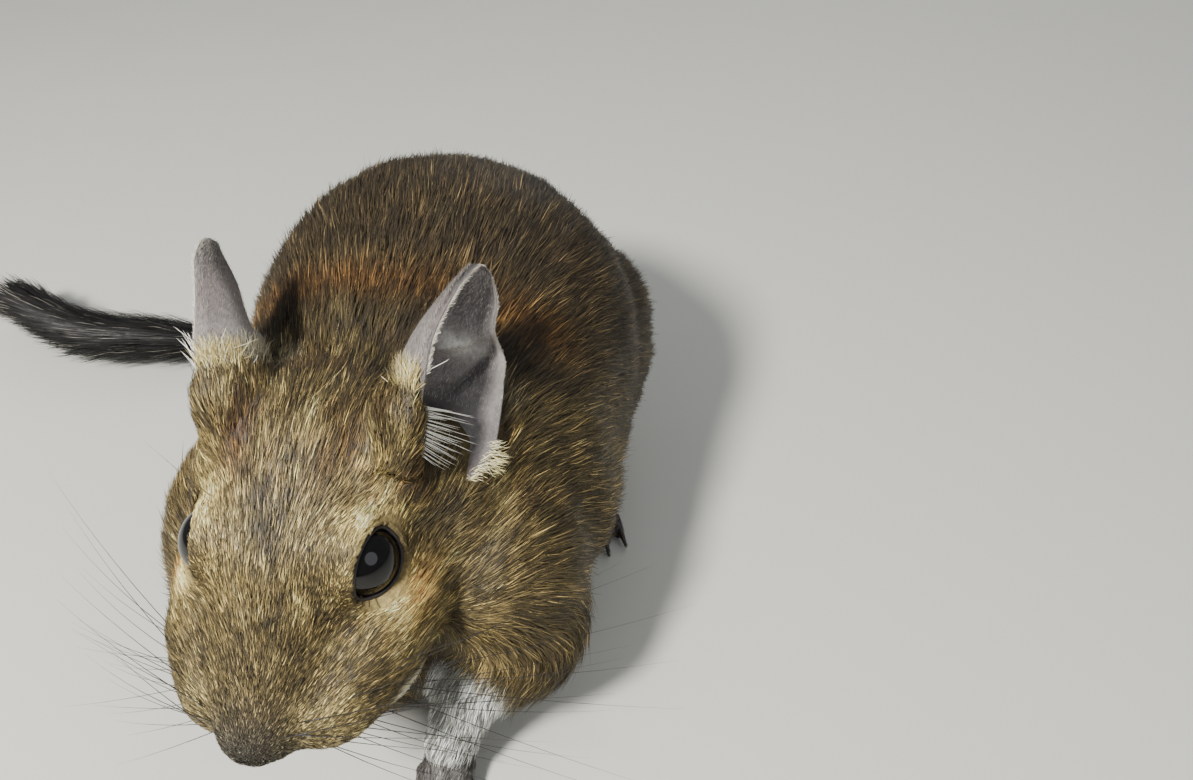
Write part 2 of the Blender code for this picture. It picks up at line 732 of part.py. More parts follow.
def make_tuft(name, path):
    """The brush on the last third of the tail: a core and flat tapered locks that splay toward the tip."""
    draw = random.Random(11)
    count = len(path) - 1
    first = round(0.56 * count)
    core_path = path[first:]
    radii = []
    for i in range(len(core_path)):
        t = i / (len(core_path) - 1)
        radii.append((2.3 + 1.2 * math.sin(math.pi * min(t * 1.3, 1.0))) * (1 - 0.75 * t ** 3))
    core = tube(name, core_path, radii, around=8)
    locks = []
    for n in range(TUFT_LOCKS):
        t = 0.10 + 0.86 * (n + draw.random()) / TUFT_LOCKS
        spot = t * (len(core_path) - 1)
        index = min(int(spot), len(core_path) - 2)
        root = core_path[index].lerp(core_path[index + 1], spot - index)
        along = (core_path[index + 1] - core_path[index]).normalized()
        across = along.cross(Vector((0, 0, 1))).normalized()
        up = across.cross(along)
        turn = n * 2.399 + draw.uniform(-0.3, 0.3)
        out = across * math.cos(turn) + up * math.sin(turn)
        length = draw.uniform(13.0, 19.0) * (1 - 0.10 * t)
        splay = draw.uniform(0.75, 1.0) * (TUFT_REACH - 2.0) / length
        side = along.cross(out)
        points, width = [], draw.uniform(0.9, 1.25)
        for k in range(4):
            u = k / 3
            lift = math.sin(u * 1.5) * splay * length * (0.85 if out.z > -0.2 else 0.45)
            centre = root + along * (length * u - 1.5) + out * (0.9 + lift)
            centre.z = max(centre.z, 0.75)
            wide = width * (0.80, 1.0, 0.72, 0.14)[k]
            thick = 0.55 * wide
            for reach in (side * wide, out * thick, -side * wide, -out * thick):
                points.append(centre + reach)
        faces = []
        for k in range(3):
            for j in range(4):
                m = (j + 1) % 4
                faces.append((4 * k + j, 4 * k + m, 4 * k + 4 + m, 4 * k + 4 + j))
        faces += [(0, 1, 2, 3), (12, 13, 14, 15)]
        locks.append(object_from("lock", [p * MM for p in points], faces))
    join(core, *locks)
    return on_floor(core)


# Putting it together


def neck_frame(offset):
    """A frame in metres whose z axis points out of the neck's cut toward the head."""
    axis = Vector(NECK_PLANE_AXIS).normalized()
    turn = axis.to_track_quat("Z", "Y").to_matrix().to_4x4()
    return Matrix.Translation(mm(*NECK_PLANE_POINT) + axis * offset * MM) @ turn


def half_space(name, offset, above):
    """A large block on one side of a plane across the neck."""
    low, high = (0, 160) if above else (-260, 0)
    return box(name, (-150, -150, low), (150, 150, high), neck_frame(offset))


def fore_block(key, side, extra):
    inner = abs(FORE_WRIST[key][0]) - 5.2
    return side_block("shoulder", side, inner, SHOULDER_OUTLINE, extra)


def hind_block(side, extra):
    inner = 20.5 if side > 0 else 17.5
    return side_block("haunch", side, inner, oval((18, 22), (26.0, 21.0), -6), extra)


def finish(obj, name, paint):
    obj.name = name
    obj.data.name = name
    for polygon in obj.data.polygons:
        polygon.use_smooth = True
    obj.data.set_sharp_from_angle(angle=math.radians(SHARP_ANGLE))
    obj.data.materials.clear()
    obj.data.materials.append(material(name + "_" + paint[0], paint[1], paint[2]))


def stand_on_origin():
    """Moves the whole model so that the middle of its footprint is the origin."""
    pieces = [obj for obj in bpy.context.scene.objects if obj.type == "MESH"]
    corners = [vertex.co for obj in pieces for vertex in obj.data.vertices]
    shift = Vector((0, 0, -min(c.z for c in corners)))
    for i in range(2):
        shift[i] = -(min(c[i] for c in corners) + max(c[i] for c in corners)) / 2
    for obj in pieces:
        obj.data.transform(Matrix.Translation(shift))
    return shift


def main():
    clear_scene()
    fur, foot_skin = ("fur", FUR_BROWN, 0.85), ("skin", FOOT_GREY, 0.6)
    parts = trunk_masses() + neck_masses() + head_masses()
    for key, side in SIDES.items():
        parts += haunch_masses(side) + arm_masses(key, side)
    flesh = melt("flesh", parts)

    fine = decimate(duplicate(flesh, "fine"), FINE_TRIANGLES)
    body = decimate(flesh, COARSE_TRIANGLES)

    feet, legs = {}, {}
    for key, side in SIDES.items():
        feet["fore_" + key] = make_fore_foot("fore_foot_" + key, key, side)
        feet["hind_" + key] = make_hind_foot("hind_foot_" + key, key, side)
        leg = common(duplicate(body, "fore_leg"), fore_block(key, side, 0))
        low = box("low", (-80, -80, -10), (80, 80, WRIST_HEIGHT + GAP / 2))
        legs["fore_" + key] = cut(leg, low)
    for key, side in SIDES.items():
        cut(fine, fore_block(key, side, GAP))
        cut(body, fore_block(key, side, GAP))
    head = common(fine, half_space("front", 0, True))
    common(body, half_space("rear", -GAP, False))
    for key, side in SIDES.items():
        leg = common(duplicate(body, "hind_leg"), hind_block(side, 0))
        legs["hind_" + key] = cut(leg, grown_hull(feet["hind_" + key], GAP))
        for cutter in (hind_block(side, GAP), grown_hull(feet["hind_" + key], GAP)):
            cut(body, cutter)
        cut(body, grown_hull(feet["fore_" + key], GAP))
    torso = common(duplicate(body, "torso"), half_space("rear", -NECK_LENGTH - GAP, False))
    neck = cut(body, half_space("rear", -NECK_LENGTH, False))

    path = smooth_path(TAIL_POINTS, 4)
    root = cut(tail_length("tail_root", path, 0.0, 0.36), grown(torso, GAP))
    middle = tail_length("tail_middle", path, 0.36, 0.60)
    tuft = make_tuft("tail_tuft", path)
    root, middle, tuft = separate(path, root, middle, tuft)

    for side in SIDES.values():
        add_lids(head, side)
    add_nose(head)
    add_mouth(head)
    ears = {}
    for key, side in SIDES.items():
        ears[key] = cut(make_ear(key, side), grown(head, GAP))
        cut(ears[key], grown(neck, GAP))

    on_floor(root)
    on_floor(middle)
    finish(head, "head", fur)
    finish(neck, "neck", fur)
    finish(torso, "torso", fur)
    for key, side in SIDES.items():
        finish(ears[key], "ear_" + key, ("skin", EAR_GREY, 0.6))
        eye = transformed(ball("eye", EYE_RADIUS), eye_frame(side))
        finish(eye, "eye_" + key, ("cornea", EYE_BLACK, 0.08))
        finish(legs["fore_" + key], "fore_leg_" + key, fur)
        finish(legs["hind_" + key], "hind_leg_" + key, fur)
        finish(feet["fore_" + key], "fore_foot_" + key, foot_skin)
        finish(feet["hind_" + key], "hind_foot_" + key, foot_skin)
    finish(root, "tail_root", fur)
    finish(middle, "tail_middle", fur)
    finish(tuft, "tail_tuft", ("hair", TUFT_BLACK, 0.7))
    stand_on_origin()


main()
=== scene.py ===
"""The looks of a life-size degu: one skin, its coat, ears, eyes, feet, whiskers and tail."""

import itertools
import math

import bpy
import numpy as np
from mathutils import Matrix, Vector
from mathutils.kdtree import KDTree


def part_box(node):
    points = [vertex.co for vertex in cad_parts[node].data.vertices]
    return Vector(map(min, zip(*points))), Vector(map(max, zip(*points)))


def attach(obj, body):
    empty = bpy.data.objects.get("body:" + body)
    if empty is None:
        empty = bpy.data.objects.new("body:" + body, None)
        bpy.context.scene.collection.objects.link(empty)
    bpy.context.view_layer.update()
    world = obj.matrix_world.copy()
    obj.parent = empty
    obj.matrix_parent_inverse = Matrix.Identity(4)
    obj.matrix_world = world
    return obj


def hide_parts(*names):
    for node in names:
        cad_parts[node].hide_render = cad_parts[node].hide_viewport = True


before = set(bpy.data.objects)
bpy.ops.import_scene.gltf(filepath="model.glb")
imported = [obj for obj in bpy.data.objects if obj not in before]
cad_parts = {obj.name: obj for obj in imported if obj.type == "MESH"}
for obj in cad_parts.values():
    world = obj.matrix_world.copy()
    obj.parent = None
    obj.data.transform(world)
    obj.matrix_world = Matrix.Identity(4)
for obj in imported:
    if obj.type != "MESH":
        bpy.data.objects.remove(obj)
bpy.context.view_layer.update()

# The animal's own frame: millimetres, facing -Y, its left side toward +X, the floor at z 0

MM = 0.001
SIDES = {"left": 1, "right": -1}
FLESH = ["head", "neck", "torso", "tail_root", "tail_middle"] + [
    part + key for part in ("fore_leg_", "hind_leg_", "fore_foot_", "hind_foot_") for key in SIDES]

HEAD_PLACE = np.array((2.1, -47.8, 45.2))
HEAD_PITCH = 21.0
HEAD_ROLL = -1.5
EYE_RADIUS = 4.8
EYE_SPREAD = 8.9
EYE_AXIS = (0.85, -0.30, 0.43)
LID_HALF_LENGTH = 60.0
LID_UPPER_HEIGHT = 40.0
LID_LOWER_HEIGHT = 47.0
LID_TILT = 12.0
NOSE_TIP = np.array((0.0, -25.0, -6.5))

BOW_PEAK_X = 6.0
BOW_PEAK_Y = -8.0
BOW_BEND = 0.0042
TRUNK_HALF_WIDTH = 33.0

EAR_ROOT = {"left": (14.1, 15.0, 3.6), "right": (11.5, 15.0, 3.6)}
EAR_TIP = {"left": (19.1, 34.8, 13.2), "right": (17.7, 35.0, 13.6)}
EAR_OPENING = {"left": (0.78, -0.58, 0.24), "right": (0.87, -0.43, 0.24)}
EAR_FRONT_WIDTH = [(0.0, 6.0), (0.18, 9.0), (0.4, 11.0), (0.6, 9.5), (0.8, 6.4), (1.0, 3.2)]
EAR_REAR_WIDTH = [(0.0, 9.0), (0.15, 13.0), (0.3, 13.5), (0.56, 11.0), (0.72, 7.2), (1.0, 2.4)]
EAR_FRONT_CURL = [(0.0, 2.4), (0.3, 2.1), (0.6, 1.6), (1.0, 1.1)]
EAR_REAR_CURL = [(0.0, 1.5), (0.15, 1.25), (0.5, 1.05), (1.0, 0.8)]
EAR_BULGE = [(0.0, 3.0), (0.3, 5.0), (0.6, 4.0), (0.85, 1.5), (1.0, 0.0)]
EAR_SINK = 5.0
EAR_TIP_ROUND = 0.16
EAR_THICKNESS = 0.9

FORE_WRIST = {"left": (18.6, -48.5), "right": (-14.5, -36.0)}
FORE_TURN = {"left": -2.0, "right": -12.0}
HIND_HEEL = {"left": (22.0, 24.5), "right": (-25.5, 31.0)}
HIND_TURN = {"left": 20.0, "right": -12.0}
HIND_FOOT_LENGTH = 31.0
FORE_TOES = ((-3.4, -24, 4.6), (-1.2, -8, 5.8), (1.2, 8, 5.6), (3.4, 26, 4.4))
HIND_TOES = ((-3.3, -12, 6.2), (-1.3, -3, 7.6), (1.0, 5, 7.8), (3.2, 13, 6.4))

TAIL_POINTS = [(-3, 43, 17), (-9, 53, 11), (-20, 60, 5.4), (-33, 56.5, 3.7), (-44, 47, 3.4),
               (-55, 39, 4.6), (-67, 35, 6.2), (-80, 33.5, 6.6), (-92, 35, 6.8), (-103, 38.5, 7.2)]
TUFT_START = 0.54

# The coat: each hair's length goes with how deep the skin lies under the solids

SKIN_VOXEL = 0.45
SKIN_TRIANGLES = 120000
DEPTH_SHARE = 0.28
HAIR_COUNTS = {"face": 150000, "neck": 56000, "trunk": 165000, "limbs": 48000, "tail": 10000}
PATCH = 0.003
BLADES_IN_A_PIECE = 65000
FACE_LENGTHS = [(-25, 0.45), (-22, 0.6), (-16, 1.5), (-8, 2.2), (0, 2.8), (10, 3.4), (20, 4.2), (32, 4.8)]
LENGTHS = {"forearm": 5.0, "cuff": 3.0, "paw": 1.3, "foot": 1.6, "tail": 3.0, "ear": 2.4}
WHISKER_LIMIT = 44
TUFT_HAIRS = 18000


# Frames and small helpers


def head_turn():
    pitch = Matrix.Rotation(math.radians(HEAD_PITCH), 3, "X")
    return np.array(pitch @ Matrix.Rotation(math.radians(HEAD_ROLL), 3, "Y"))


def box_middle(node):
    low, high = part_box(node)
    return np.array((low + high) / 2) / MM


HEAD_TURN = head_turn()
SHIFT = (box_middle("eye_left") + box_middle("eye_right")) / 2 - HEAD_PLACE


def to_head(points):
    """Points in the head's own frame: x to its left, y back, z up, with the origin between the eyes."""
    return (np.asarray(points, float) - HEAD_PLACE) @ HEAD_TURN


def from_head(points):
    return np.asarray(points, float) @ HEAD_TURN.T + HEAD_PLACE


def mirrored(points, side):
    """Points or directions of the left side, turned over for the right side."""
    return points * np.array((side, 1, 1))


def unit(vectors):
    return vectors / np.maximum(np.linalg.norm(vectors, axis=-1, keepdims=True), 1e-9)


def tangent(vectors, normals):
    """The part of each vector that lies in the surface, at length one."""
    return unit(vectors - normals * (vectors * normals).sum(-1, keepdims=True))


def ramp(low, high, x):
    t = np.clip((np.asarray(x, float) - low) / (high - low), 0, 1)
    return t * t * (3 - 2 * t)


def spot(points, centre, radii):
    """One at a centre, fading out over an oval."""
    return np.exp(-(((points - np.array(centre)) / np.array(radii)) ** 2).sum(-1))


def spine_x(y):
    return BOW_PEAK_X - BOW_BEND * (y - BOW_PEAK_Y) ** 2


def noise(points, scale, seed):
    """Smooth noise from -1 to 1 with cells of a size in millimetres."""
    p = np.asarray(points, float) / scale + seed * 11.7
    cell = np.floor(p).astype(np.int64)
    f = p - cell
    f = f * f * (3 - 2 * f)
    total = np.zeros(len(p))
    for corner in itertools.product((0, 1), repeat=3):
        c = cell + np.array(corner)
        n = (c[:, 0] * 73856093) ^ (c[:, 1] * 19349663) ^ (c[:, 2] * 83492791) ^ (seed * 2654435)
        n = ((n ^ (n >> 13)) * 1274126177) & 0x7FFFFFFF
        share = np.prod(np.where(np.array(corner) == 1, f, 1 - f), axis=1)
        total += share * ((n >> 8) & 0xFFFF) / 65535.0
    return total * 2 - 1


def segment_distance(points, a, b):
    """How far points are from a straight line between two places, and how far along it they lie."""
    a, b = np.array(a, float), np.array(b, float)
    t = np.clip((points - a) @ (b - a) / ((b - a) @ (b - a)), 0, 1)
    return np.linalg.norm(points - (a + t[:, None] * (b - a)), axis=1), t


def smooth_path(points, steps):
    """A Catmull-Rom curve through points with a number of steps for each span."""
    ends = [2 * Vector(points[0]) - Vector(points[1])]
    tail = [2 * Vector(points[-1]) - Vector(points[-2])]
    knots = ends + [Vector(p) for p in points] + tail
    path = []
    for i in range(1, len(knots) - 2):
        a, b, c, d = knots[i - 1:i + 3]
        square, cube = 2 * a - 5 * b + 4 * c - d, 3 * b - a - 3 * c + d
        for k in range(steps):
            t = k / steps
            path.append((2 * b + (c - a) * t + square * t ** 2 + cube * t ** 3) / 2)
    path.append(Vector(points[-1]))
    return np.array(path)


TAIL_PATH = smooth_path(TAIL_POINTS, 12)
TAIL_ALONG = unit(np.gradient(TAIL_PATH, axis=0))


def tail_place(points):
    """For each point the distance to the tail's middle line, its share along it and the line's direction."""
    away = np.linalg.norm(points[:, None, :] - TAIL_PATH[None, :, :], axis=2)
    nearest = away.argmin(1)
    return away.min(1), nearest / (len(TAIL_PATH) - 1), TAIL_ALONG[nearest]


def linear(red, green, blue):
    """A colour from 0 to 255 as Blender's own linear values."""
    c = np.array((red, green, blue)) / 255.0
    return np.where(c <= 0.04045, c / 12.92, ((c + 0.055) / 1.055) ** 2.4)


def mix(a, b, share):
    share = np.asarray(share)[..., None]
    return a * (1 - share) + b * share


# Meshes


def new_mesh(name, points, triangles):
    """A mesh of triangles from millimetre points in the animal's frame."""
    mesh = bpy.data.meshes.new(name)
    mesh.vertices.add(len(points))
    mesh.vertices.foreach_set("co", ((points + SHIFT) * MM).astype(np.float32).ravel())
    mesh.loops.add(len(triangles) * 3)
    mesh.loops.foreach_set("vertex_index", np.asarray(triangles, np.int32).ravel())
    mesh.polygons.add(len(triangles))
    mesh.polygons.foreach_set("loop_start", np.arange(0, len(triangles) * 3, 3, dtype=np.int32))
    mesh.polygons.foreach_set("use_smooth", np.ones(len(triangles), bool))
    mesh.update(calc_edges=True)
    return mesh


def add_piece(name, mesh, colours, material, replaced=()):
    """Puts a mesh in the scene as a piece of the still body, with a stored colour for each point."""
    layer = mesh.color_attributes.new("tint", "FLOAT_COLOR", "POINT")
    full = np.ones((len(mesh.vertices), 4), np.float32)
    full[:, :3] = np.clip(colours, 0, 1)
    layer.data.foreach_set("color", full.ravel())
    obj = bpy.data.objects.new(name, mesh)
    bpy.context.scene.collection.objects.link(obj)
    mesh.materials.clear()
    mesh.materials.append(material)
    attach(obj, "root")
    if replaced:
        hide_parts(*replaced)
    return obj


def mesh_arrays(mesh):
    """Points in millimetres in the animal's frame, point normals and triangles of a mesh."""
    count = len(mesh.vertices)
    points = np.empty(count * 3, np.float32)
    mesh.vertices.foreach_get("co", points)
    normals = np.empty(count * 3, np.float32)
    mesh.vertices.foreach_get("normal", normals)
    mesh.calc_loop_triangles()
    triangles = np.empty(len(mesh.loop_triangles) * 3, np.int32)
    mesh.loop_triangles.foreach_get("vertices", triangles)
    points = points.reshape(-1, 3).astype(float) / MM - SHIFT
    return points, normals.reshape(-1, 3).astype(float), triangles.reshape(-1, 3)


def tube_mesh(path, radii, around):
    """Points and triangles of a round tube along a path, closed at both ends."""
    path, radii = np.asarray(path, float), np.asarray(radii, float)
    along = unit(np.gradient(path, axis=0))
    side = unit(np.cross(along, np.array((0.13, 0.21, 0.97))))
    lift = np.cross(side, along)
    turn = np.linspace(0, 2 * math.pi, around, endpoint=False)
    ring = side[:, None] * np.cos(turn)[None, :, None] + lift[:, None] * np.sin(turn)[None, :, None]
    points = (path[:, None] + ring * radii[:, None, None]).reshape(-1, 3)
    triangles = []
    for i in range(len(path) - 1):
        for j in range(around):
            a, b = i * around + j, i * around + (j + 1) % around
            triangles += [(a, a + around, b), (b, a + around, b + around)]
    points = np.vstack([points, path[:1], path[-1:]])
    first, last, end = len(points) - 2, len(points) - 1, (len(path) - 1) * around
    for j in range(around):
        k = (j + 1) % around
        triangles += [(first, j, k), (last, end + k, end + j)]
    return points, np.array(triangles)


def merged(parts):
    """Several point and triangle pairs as one."""
    starts = np.cumsum([0] + [len(points) for points, _ in parts])
    return (np.vstack([points for points, _ in parts]),
            np.vstack([np.asarray(triangles) + start for (_, triangles), start in zip(parts, starts)]))


# Materials


def new_material(name, roughness, specular=0.4):
    material = bpy.data.materials.new(name)
    material.use_nodes = True
    shader = material.node_tree.nodes["Principled BSDF"]
    shader.inputs["Roughness"].default_value = roughness
    shader.inputs["Specular IOR Level"].default_value = specular
    return material, material.node_tree, shader


def node(tree, kind, **settings):
    made = tree.nodes.new(kind)
    for key, value in settings.items():
        setattr(made, key, value)
    return made


def object_noise(tree, scale, detail=3.0, roughness=0.55, distortion=0.0):
    """Noise in the object's own space, in cells for each metre."""
    place = node(tree, "ShaderNodeTexCoord")
    pattern = node(tree, "ShaderNodeTexNoise")
    pattern.inputs["Scale"].default_value = scale
    pattern.inputs["Detail"].default_value = detail
    pattern.inputs["Roughness"].default_value = roughness
    pattern.inputs["Distortion"].default_value = distortion
    tree.links.new(place.outputs["Object"], pattern.inputs["Vector"])
    return pattern.outputs["Fac"]


def remap(tree, value, low, high):
    """A value from 0.3 to 0.7 spread over a wider range."""
    made = node(tree, "ShaderNodeMapRange")
    made.inputs["From Min"].default_value = 0.3
    made.inputs["From Max"].default_value = 0.7
    made.inputs["To Min"].default_value = low
    made.inputs["To Max"].default_value = high
    tree.links.new(value, made.inputs["Value"])
    return made.outputs["Result"]


# Each surface's roughness and specular, the grain and range of its tint, the grain and range of its gloss,
# and the grain, depth and strength of its relief
SURFACES = {
    "fur": (0.55, 0.30, (2200,), (0.82, 1.18), 900, (0.42, 0.68), None),
    "hide": (0.80, 0.20, (1700, 6, 0.7), (0.55, 1.45), 700, (0.65, 0.90), ((2600, 5, 0.7), 0.00018, 0.8)),
    "ear_skin": (0.55, 0.35, (1400, 6, 0.7), (0.72, 1.28), 2500, (0.42, 0.70),
                 ((3600, 6, 0.75, 0.6), 0.00012, 0.9)),
    "lid": (0.50, 0.40, (2400, 4), (0.80, 1.20), 1500, (0.38, 0.62), ((4000, 4, 0.6), 0.00004, 0.8)),
    "eye": (0.05, 0.35, (1600, 5, 0.6, 0.8), (0.70, 1.30), 900, (0.04, 0.08), None),
    "claw": (0.35, 0.50, (2600, 4), (0.70, 1.30), 1800, (0.28, 0.45), ((5000, 3), 0.00004, 0.6)),
}


def make_material(key):
    """The stored tint under a grain, with a gloss that varies and a fine relief."""
    rough, specular, grain, spread, gloss, gloss_range, relief = SURFACES[key]
    material, tree, shader = new_material("degu_" + key, rough, specular)
    tint = node(tree, "ShaderNodeAttribute", attribute_name="tint")
    scale = node(tree, "ShaderNodeVectorMath", operation="SCALE")
    tree.links.new(tint.outputs["Color"], scale.inputs[0])
    tree.links.new(remap(tree, object_noise(tree, *grain), *spread), scale.inputs["Scale"])
    tree.links.new(scale.outputs["Vector"], shader.inputs["Base Color"])
    tree.links.new(remap(tree, object_noise(tree, gloss), *gloss_range), shader.inputs["Roughness"])
    if relief:
        bump = node(tree, "ShaderNodeBump")
        bump.inputs["Distance"].default_value = relief[1]
        bump.inputs["Strength"].default_value = relief[2]
        tree.links.new(object_noise(tree, *relief[0]), bump.inputs["Height"])
        tree.links.new(bump.outputs["Normal"], shader.inputs["Normal"])
    if key == "ear_skin":
        shader.inputs["Subsurface Weight"].default_value = 0.12
        shader.inputs["Subsurface Radius"].default_value = (0.6, 0.25, 0.18)
        shader.inputs["Subsurface Scale"].default_value = 0.0015
    return material


# The form of the ears


def shell_triangles(rows, columns):
    """Triangles of a closed sheet with two faces, each a grid of rows and columns."""
    half = rows * columns
    i, j = np.meshgrid(np.arange(rows - 1), np.arange(columns - 1), indexing="ij")
    a = (i * columns + j).ravel()
    b = a + columns
    parts = [np.stack([a, a + 1, b + 1], 1), np.stack([a, b + 1, b], 1),
             np.stack([half + a, half + b + 1, half + a + 1], 1),
             np.stack([half + a, half + b, half + b + 1], 1)]
    for edge, flipped in ((0, False), (columns - 1, True)):
        a = np.arange(rows - 1) * columns + edge
        b = a + columns
        sides = [np.stack([a, b, half + b], 1), np.stack([a, half + b, half + a], 1)]
        parts += [side[:, ::-1] if flipped else side for side in sides]
    for edge, flipped in ((0, True), ((rows - 1) * columns, False)):
        a = np.arange(columns - 1) + edge
        sides = [np.stack([a, a + 1, half + a + 1], 1), np.stack([a, half + a + 1, half + a], 1)]
        parts += [side[:, ::-1] if flipped else side for side in sides]
    return np.concatenate(parts)


def profile(keys, t):
    """The value between neighbouring keys, with its corners rounded off."""
    xs, ys = zip(*keys)
    return sum(share * np.interp(t + offset, xs, ys)
               for offset, share in ((-0.08, 0.25), (0, 0.5), (0.08, 0.25)))


def ear_frame(key):
    """The ear's root, its axis to the tip, across it, toward its opening, and its length with the root."""
    root, tip = np.array(EAR_ROOT[key]), np.array(EAR_TIP[key])
    axis = unit(tip - root)
    opening = np.array(EAR_OPENING[key])
    opening = unit(opening - axis * (opening @ axis))
    return root, axis, np.cross(axis, opening), opening, np.linalg.norm(tip - root) + EAR_SINK


def ear_relief(t, s):
    """The ear's folds in millimetres toward its opening: a rounded flap, the crease under it and the lobe."""
    crest = 0.585 + 0.15 * ramp(-0.1, 1.0, s)
    flap = np.where(t > crest, np.exp(-((t - crest) / 0.13) ** 2), np.exp(-((t - crest) / 0.035) ** 2))
    flap = flap * ramp(-0.35, 0.05, s) * (1 - 0.55 * ramp(0.3, 1.0, s)) * 1.9
    line = 0.40 + 0.29 * ramp(0.3, 1.0, s)
    crease = -0.9 * np.exp(-((t - line) / 0.04) ** 2) * ramp(0.1, 0.5, s)
    lobe = 1.1 * np.exp(-((t - 0.34) / 0.17) ** 2 - ((s - 0.78) / 0.30) ** 2)
    ripple = 0.14 * np.sin(s * 11 + t * 7) * np.sin(math.pi * t) * ramp(1.0, 0.7, np.abs(s))
    return flap + crease + lobe + ripple


def ear_grid(key, rows, columns):
    """Inner face of the ear as a grid of places, with its outward direction, and shares along and across."""
    root, axis, across, opening, length = ear_frame(key)
    t = np.sin(math.pi / 2 * np.linspace(0, 1, rows)) ** 0.9
    s = np.linspace(-1, 1, columns)
    t, s = np.meshgrid(t, s, indexing="ij")
    round_off = np.sqrt(np.maximum(1 - np.maximum((t - 1 + EAR_TIP_ROUND) / EAR_TIP_ROUND, 0) ** 2, 0.004))
    front = s < 0
    width = np.where(front, profile(EAR_FRONT_WIDTH, t), profile(EAR_REAR_WIDTH, t)) * round_off
    curl = np.where(front, profile(EAR_FRONT_CURL, t), profile(EAR_REAR_CURL, t))
    notch = 0.06 * np.exp(-((t - 0.62) / 0.05) ** 2) - 0.06 * np.exp(-((t - 0.76) / 0.06) ** 2)
    angle = curl * s * (1 + notch * ramp(0.6, 0.8, s))
    radius = width / curl
    relief = ear_relief(t, s) * round_off
    x = radius * np.sin(angle) - np.sin(angle) * relief
    y = radius * (1 - np.cos(angle)) + np.cos(angle) * relief
    middle = root + axis * (length * t - EAR_SINK)[..., None] - opening * profile(EAR_BULGE, t)[..., None]
    places = middle + across * x[..., None] + opening * y[..., None]
    inward = -across * np.sin(angle)[..., None] + opening * np.cos(angle)[..., None]
    return places, inward, t, s


def ear_root_points():
    """Places on the back of both ears' lower part: place, share along, the way to the tip, and inward."""
    groups = []
    for key, side in SIDES.items():
        places, inward, t, _ = ear_grid(key, 40, 21)
        low = t < EAR_FUR_TOP + 0.04
        axis = np.tile(ear_frame(key)[1], (low.sum(), 1))
        groups.append((from_head(mirrored((places - inward * EAR_THICKNESS)[low], side)), t[low],
                       mirrored(axis, side) @ HEAD_TURN.T, mirrored(inward[low], side) @ HEAD_TURN.T))
    return [np.concatenate(values) for values in zip(*groups)]


EAR_FUR_TOP = 0.42
EARS_REACH = 34
EAR_MOUND = 1.9
EAR_ROOTS = ear_root_points()


def near_ears(points):
    """How close points lie to the furred root of an ear, with what the nearest place of it says."""
    place, share, axis, inward = EAR_ROOTS
    near, along = np.zeros(len(points)), np.zeros(len(points))
    toward, into = np.zeros((len(points), 3)), np.zeros((len(points), 3))
    close = np.flatnonzero(np.linalg.norm(points - place.mean(0), axis=1) < EARS_REACH)
    for chunk in np.array_split(close, max(len(close) // 4000, 1)):
        square = ((points[chunk] ** 2).sum(1)[:, None] + (place ** 2).sum(1)[None]
                  - 2 * points[chunk] @ place.T)
        best = square.argmin(1)
        near[chunk] = 1 - ramp(2.2, 4.6, np.sqrt(np.maximum(square.min(1), 0)))
        along[chunk], toward[chunk], into[chunk] = share[best], axis[best], inward[best]
    return near, along, toward, into


def ear_mound(key, side):
    """A thin furred mound against the back of the ear's lower part, and cords under its two margins."""
    rows, columns = 24, 25
    places, inward, t, s = ear_grid(key, 100, 41)
    keep = np.linspace(0, np.searchsorted(t[:, 0], EAR_FUR_TOP), rows).astype(int)
    rear = places[keep, -1] - inward[keep, -1] * 0.9
    places, inward, t, s = (values[keep][:, :columns] for values in (places, inward, t, s))
    thick = 0.5 + EAR_MOUND * ramp(EAR_FUR_TOP, EAR_FUR_TOP - 0.2, t) * ramp(0.1, -0.3, s)
    back = places - inward * 0.5
    front = back - inward * thick[..., None]
    points = mirrored(np.vstack([back.reshape(-1, 3), front.reshape(-1, 3)]), side)
    triangles = shell_triangles(rows, columns)
    parts = [(from_head(points), triangles if side > 0 else triangles[:, ::-1])]
    for path in (places[:18, 0] - inward[:18, 0] * 0.9, rear[:7]):
        parts.append(tube_mesh(from_head(mirrored(path, side)), np.full(len(path), 1.15), 10))
    return parts


# The skin


def eye_frame(side):
    """The eye's place in the head's frame, and its axes: along the lids, up across them, and out."""
    out = Vector(EYE_AXIS).normalized()
    out.x *= side
    tilt = math.radians(LID_TILT)
    along = Vector((0, math.cos(tilt), math.sin(tilt)))
    along = (along - out * along.dot(out)).normalized()
    return np.array((side * EYE_SPREAD, 0, 0)), np.array((along, out.cross(along), out))


def lid_edge(turn, grow=1.0):
    """Two angles off the eye's axis, along and across the lids, for the almond's edge."""
    lift = 0.80 + 0.20 * np.sin(turn) ** 2 + 0.08 * np.cos(turn)
    half = np.where(np.sin(turn) >= 0, LID_UPPER_HEIGHT, LID_LOWER_HEIGHT)
    return (np.radians(LID_HALF_LENGTH) * np.cos(turn) * grow,
            np.radians(half) * np.sin(turn) * lift * grow)


def in_eye(points, side):
    """For points in the head's frame: distance to the eye's centre, and 1 at the lids' edge, less inside."""
    centre, axes = eye_frame(side)
    local = (points - centre) @ axes.T
    away = np.linalg.norm(local, axis=1)
    angle = np.arccos(np.clip(local[:, 2] / np.maximum(away, 1e-6), -1, 1))
    turn = np.arctan2(local[:, 1], local[:, 0])
    u = turn.copy()
    for _ in range(4):
        across, height = lid_edge(u)
        u += np.arctan2(np.sin(turn - np.arctan2(height, across)), np.cos(turn - np.arctan2(height, across)))
    across, height = lid_edge(u)
    return away, angle / np.hypot(across, height)


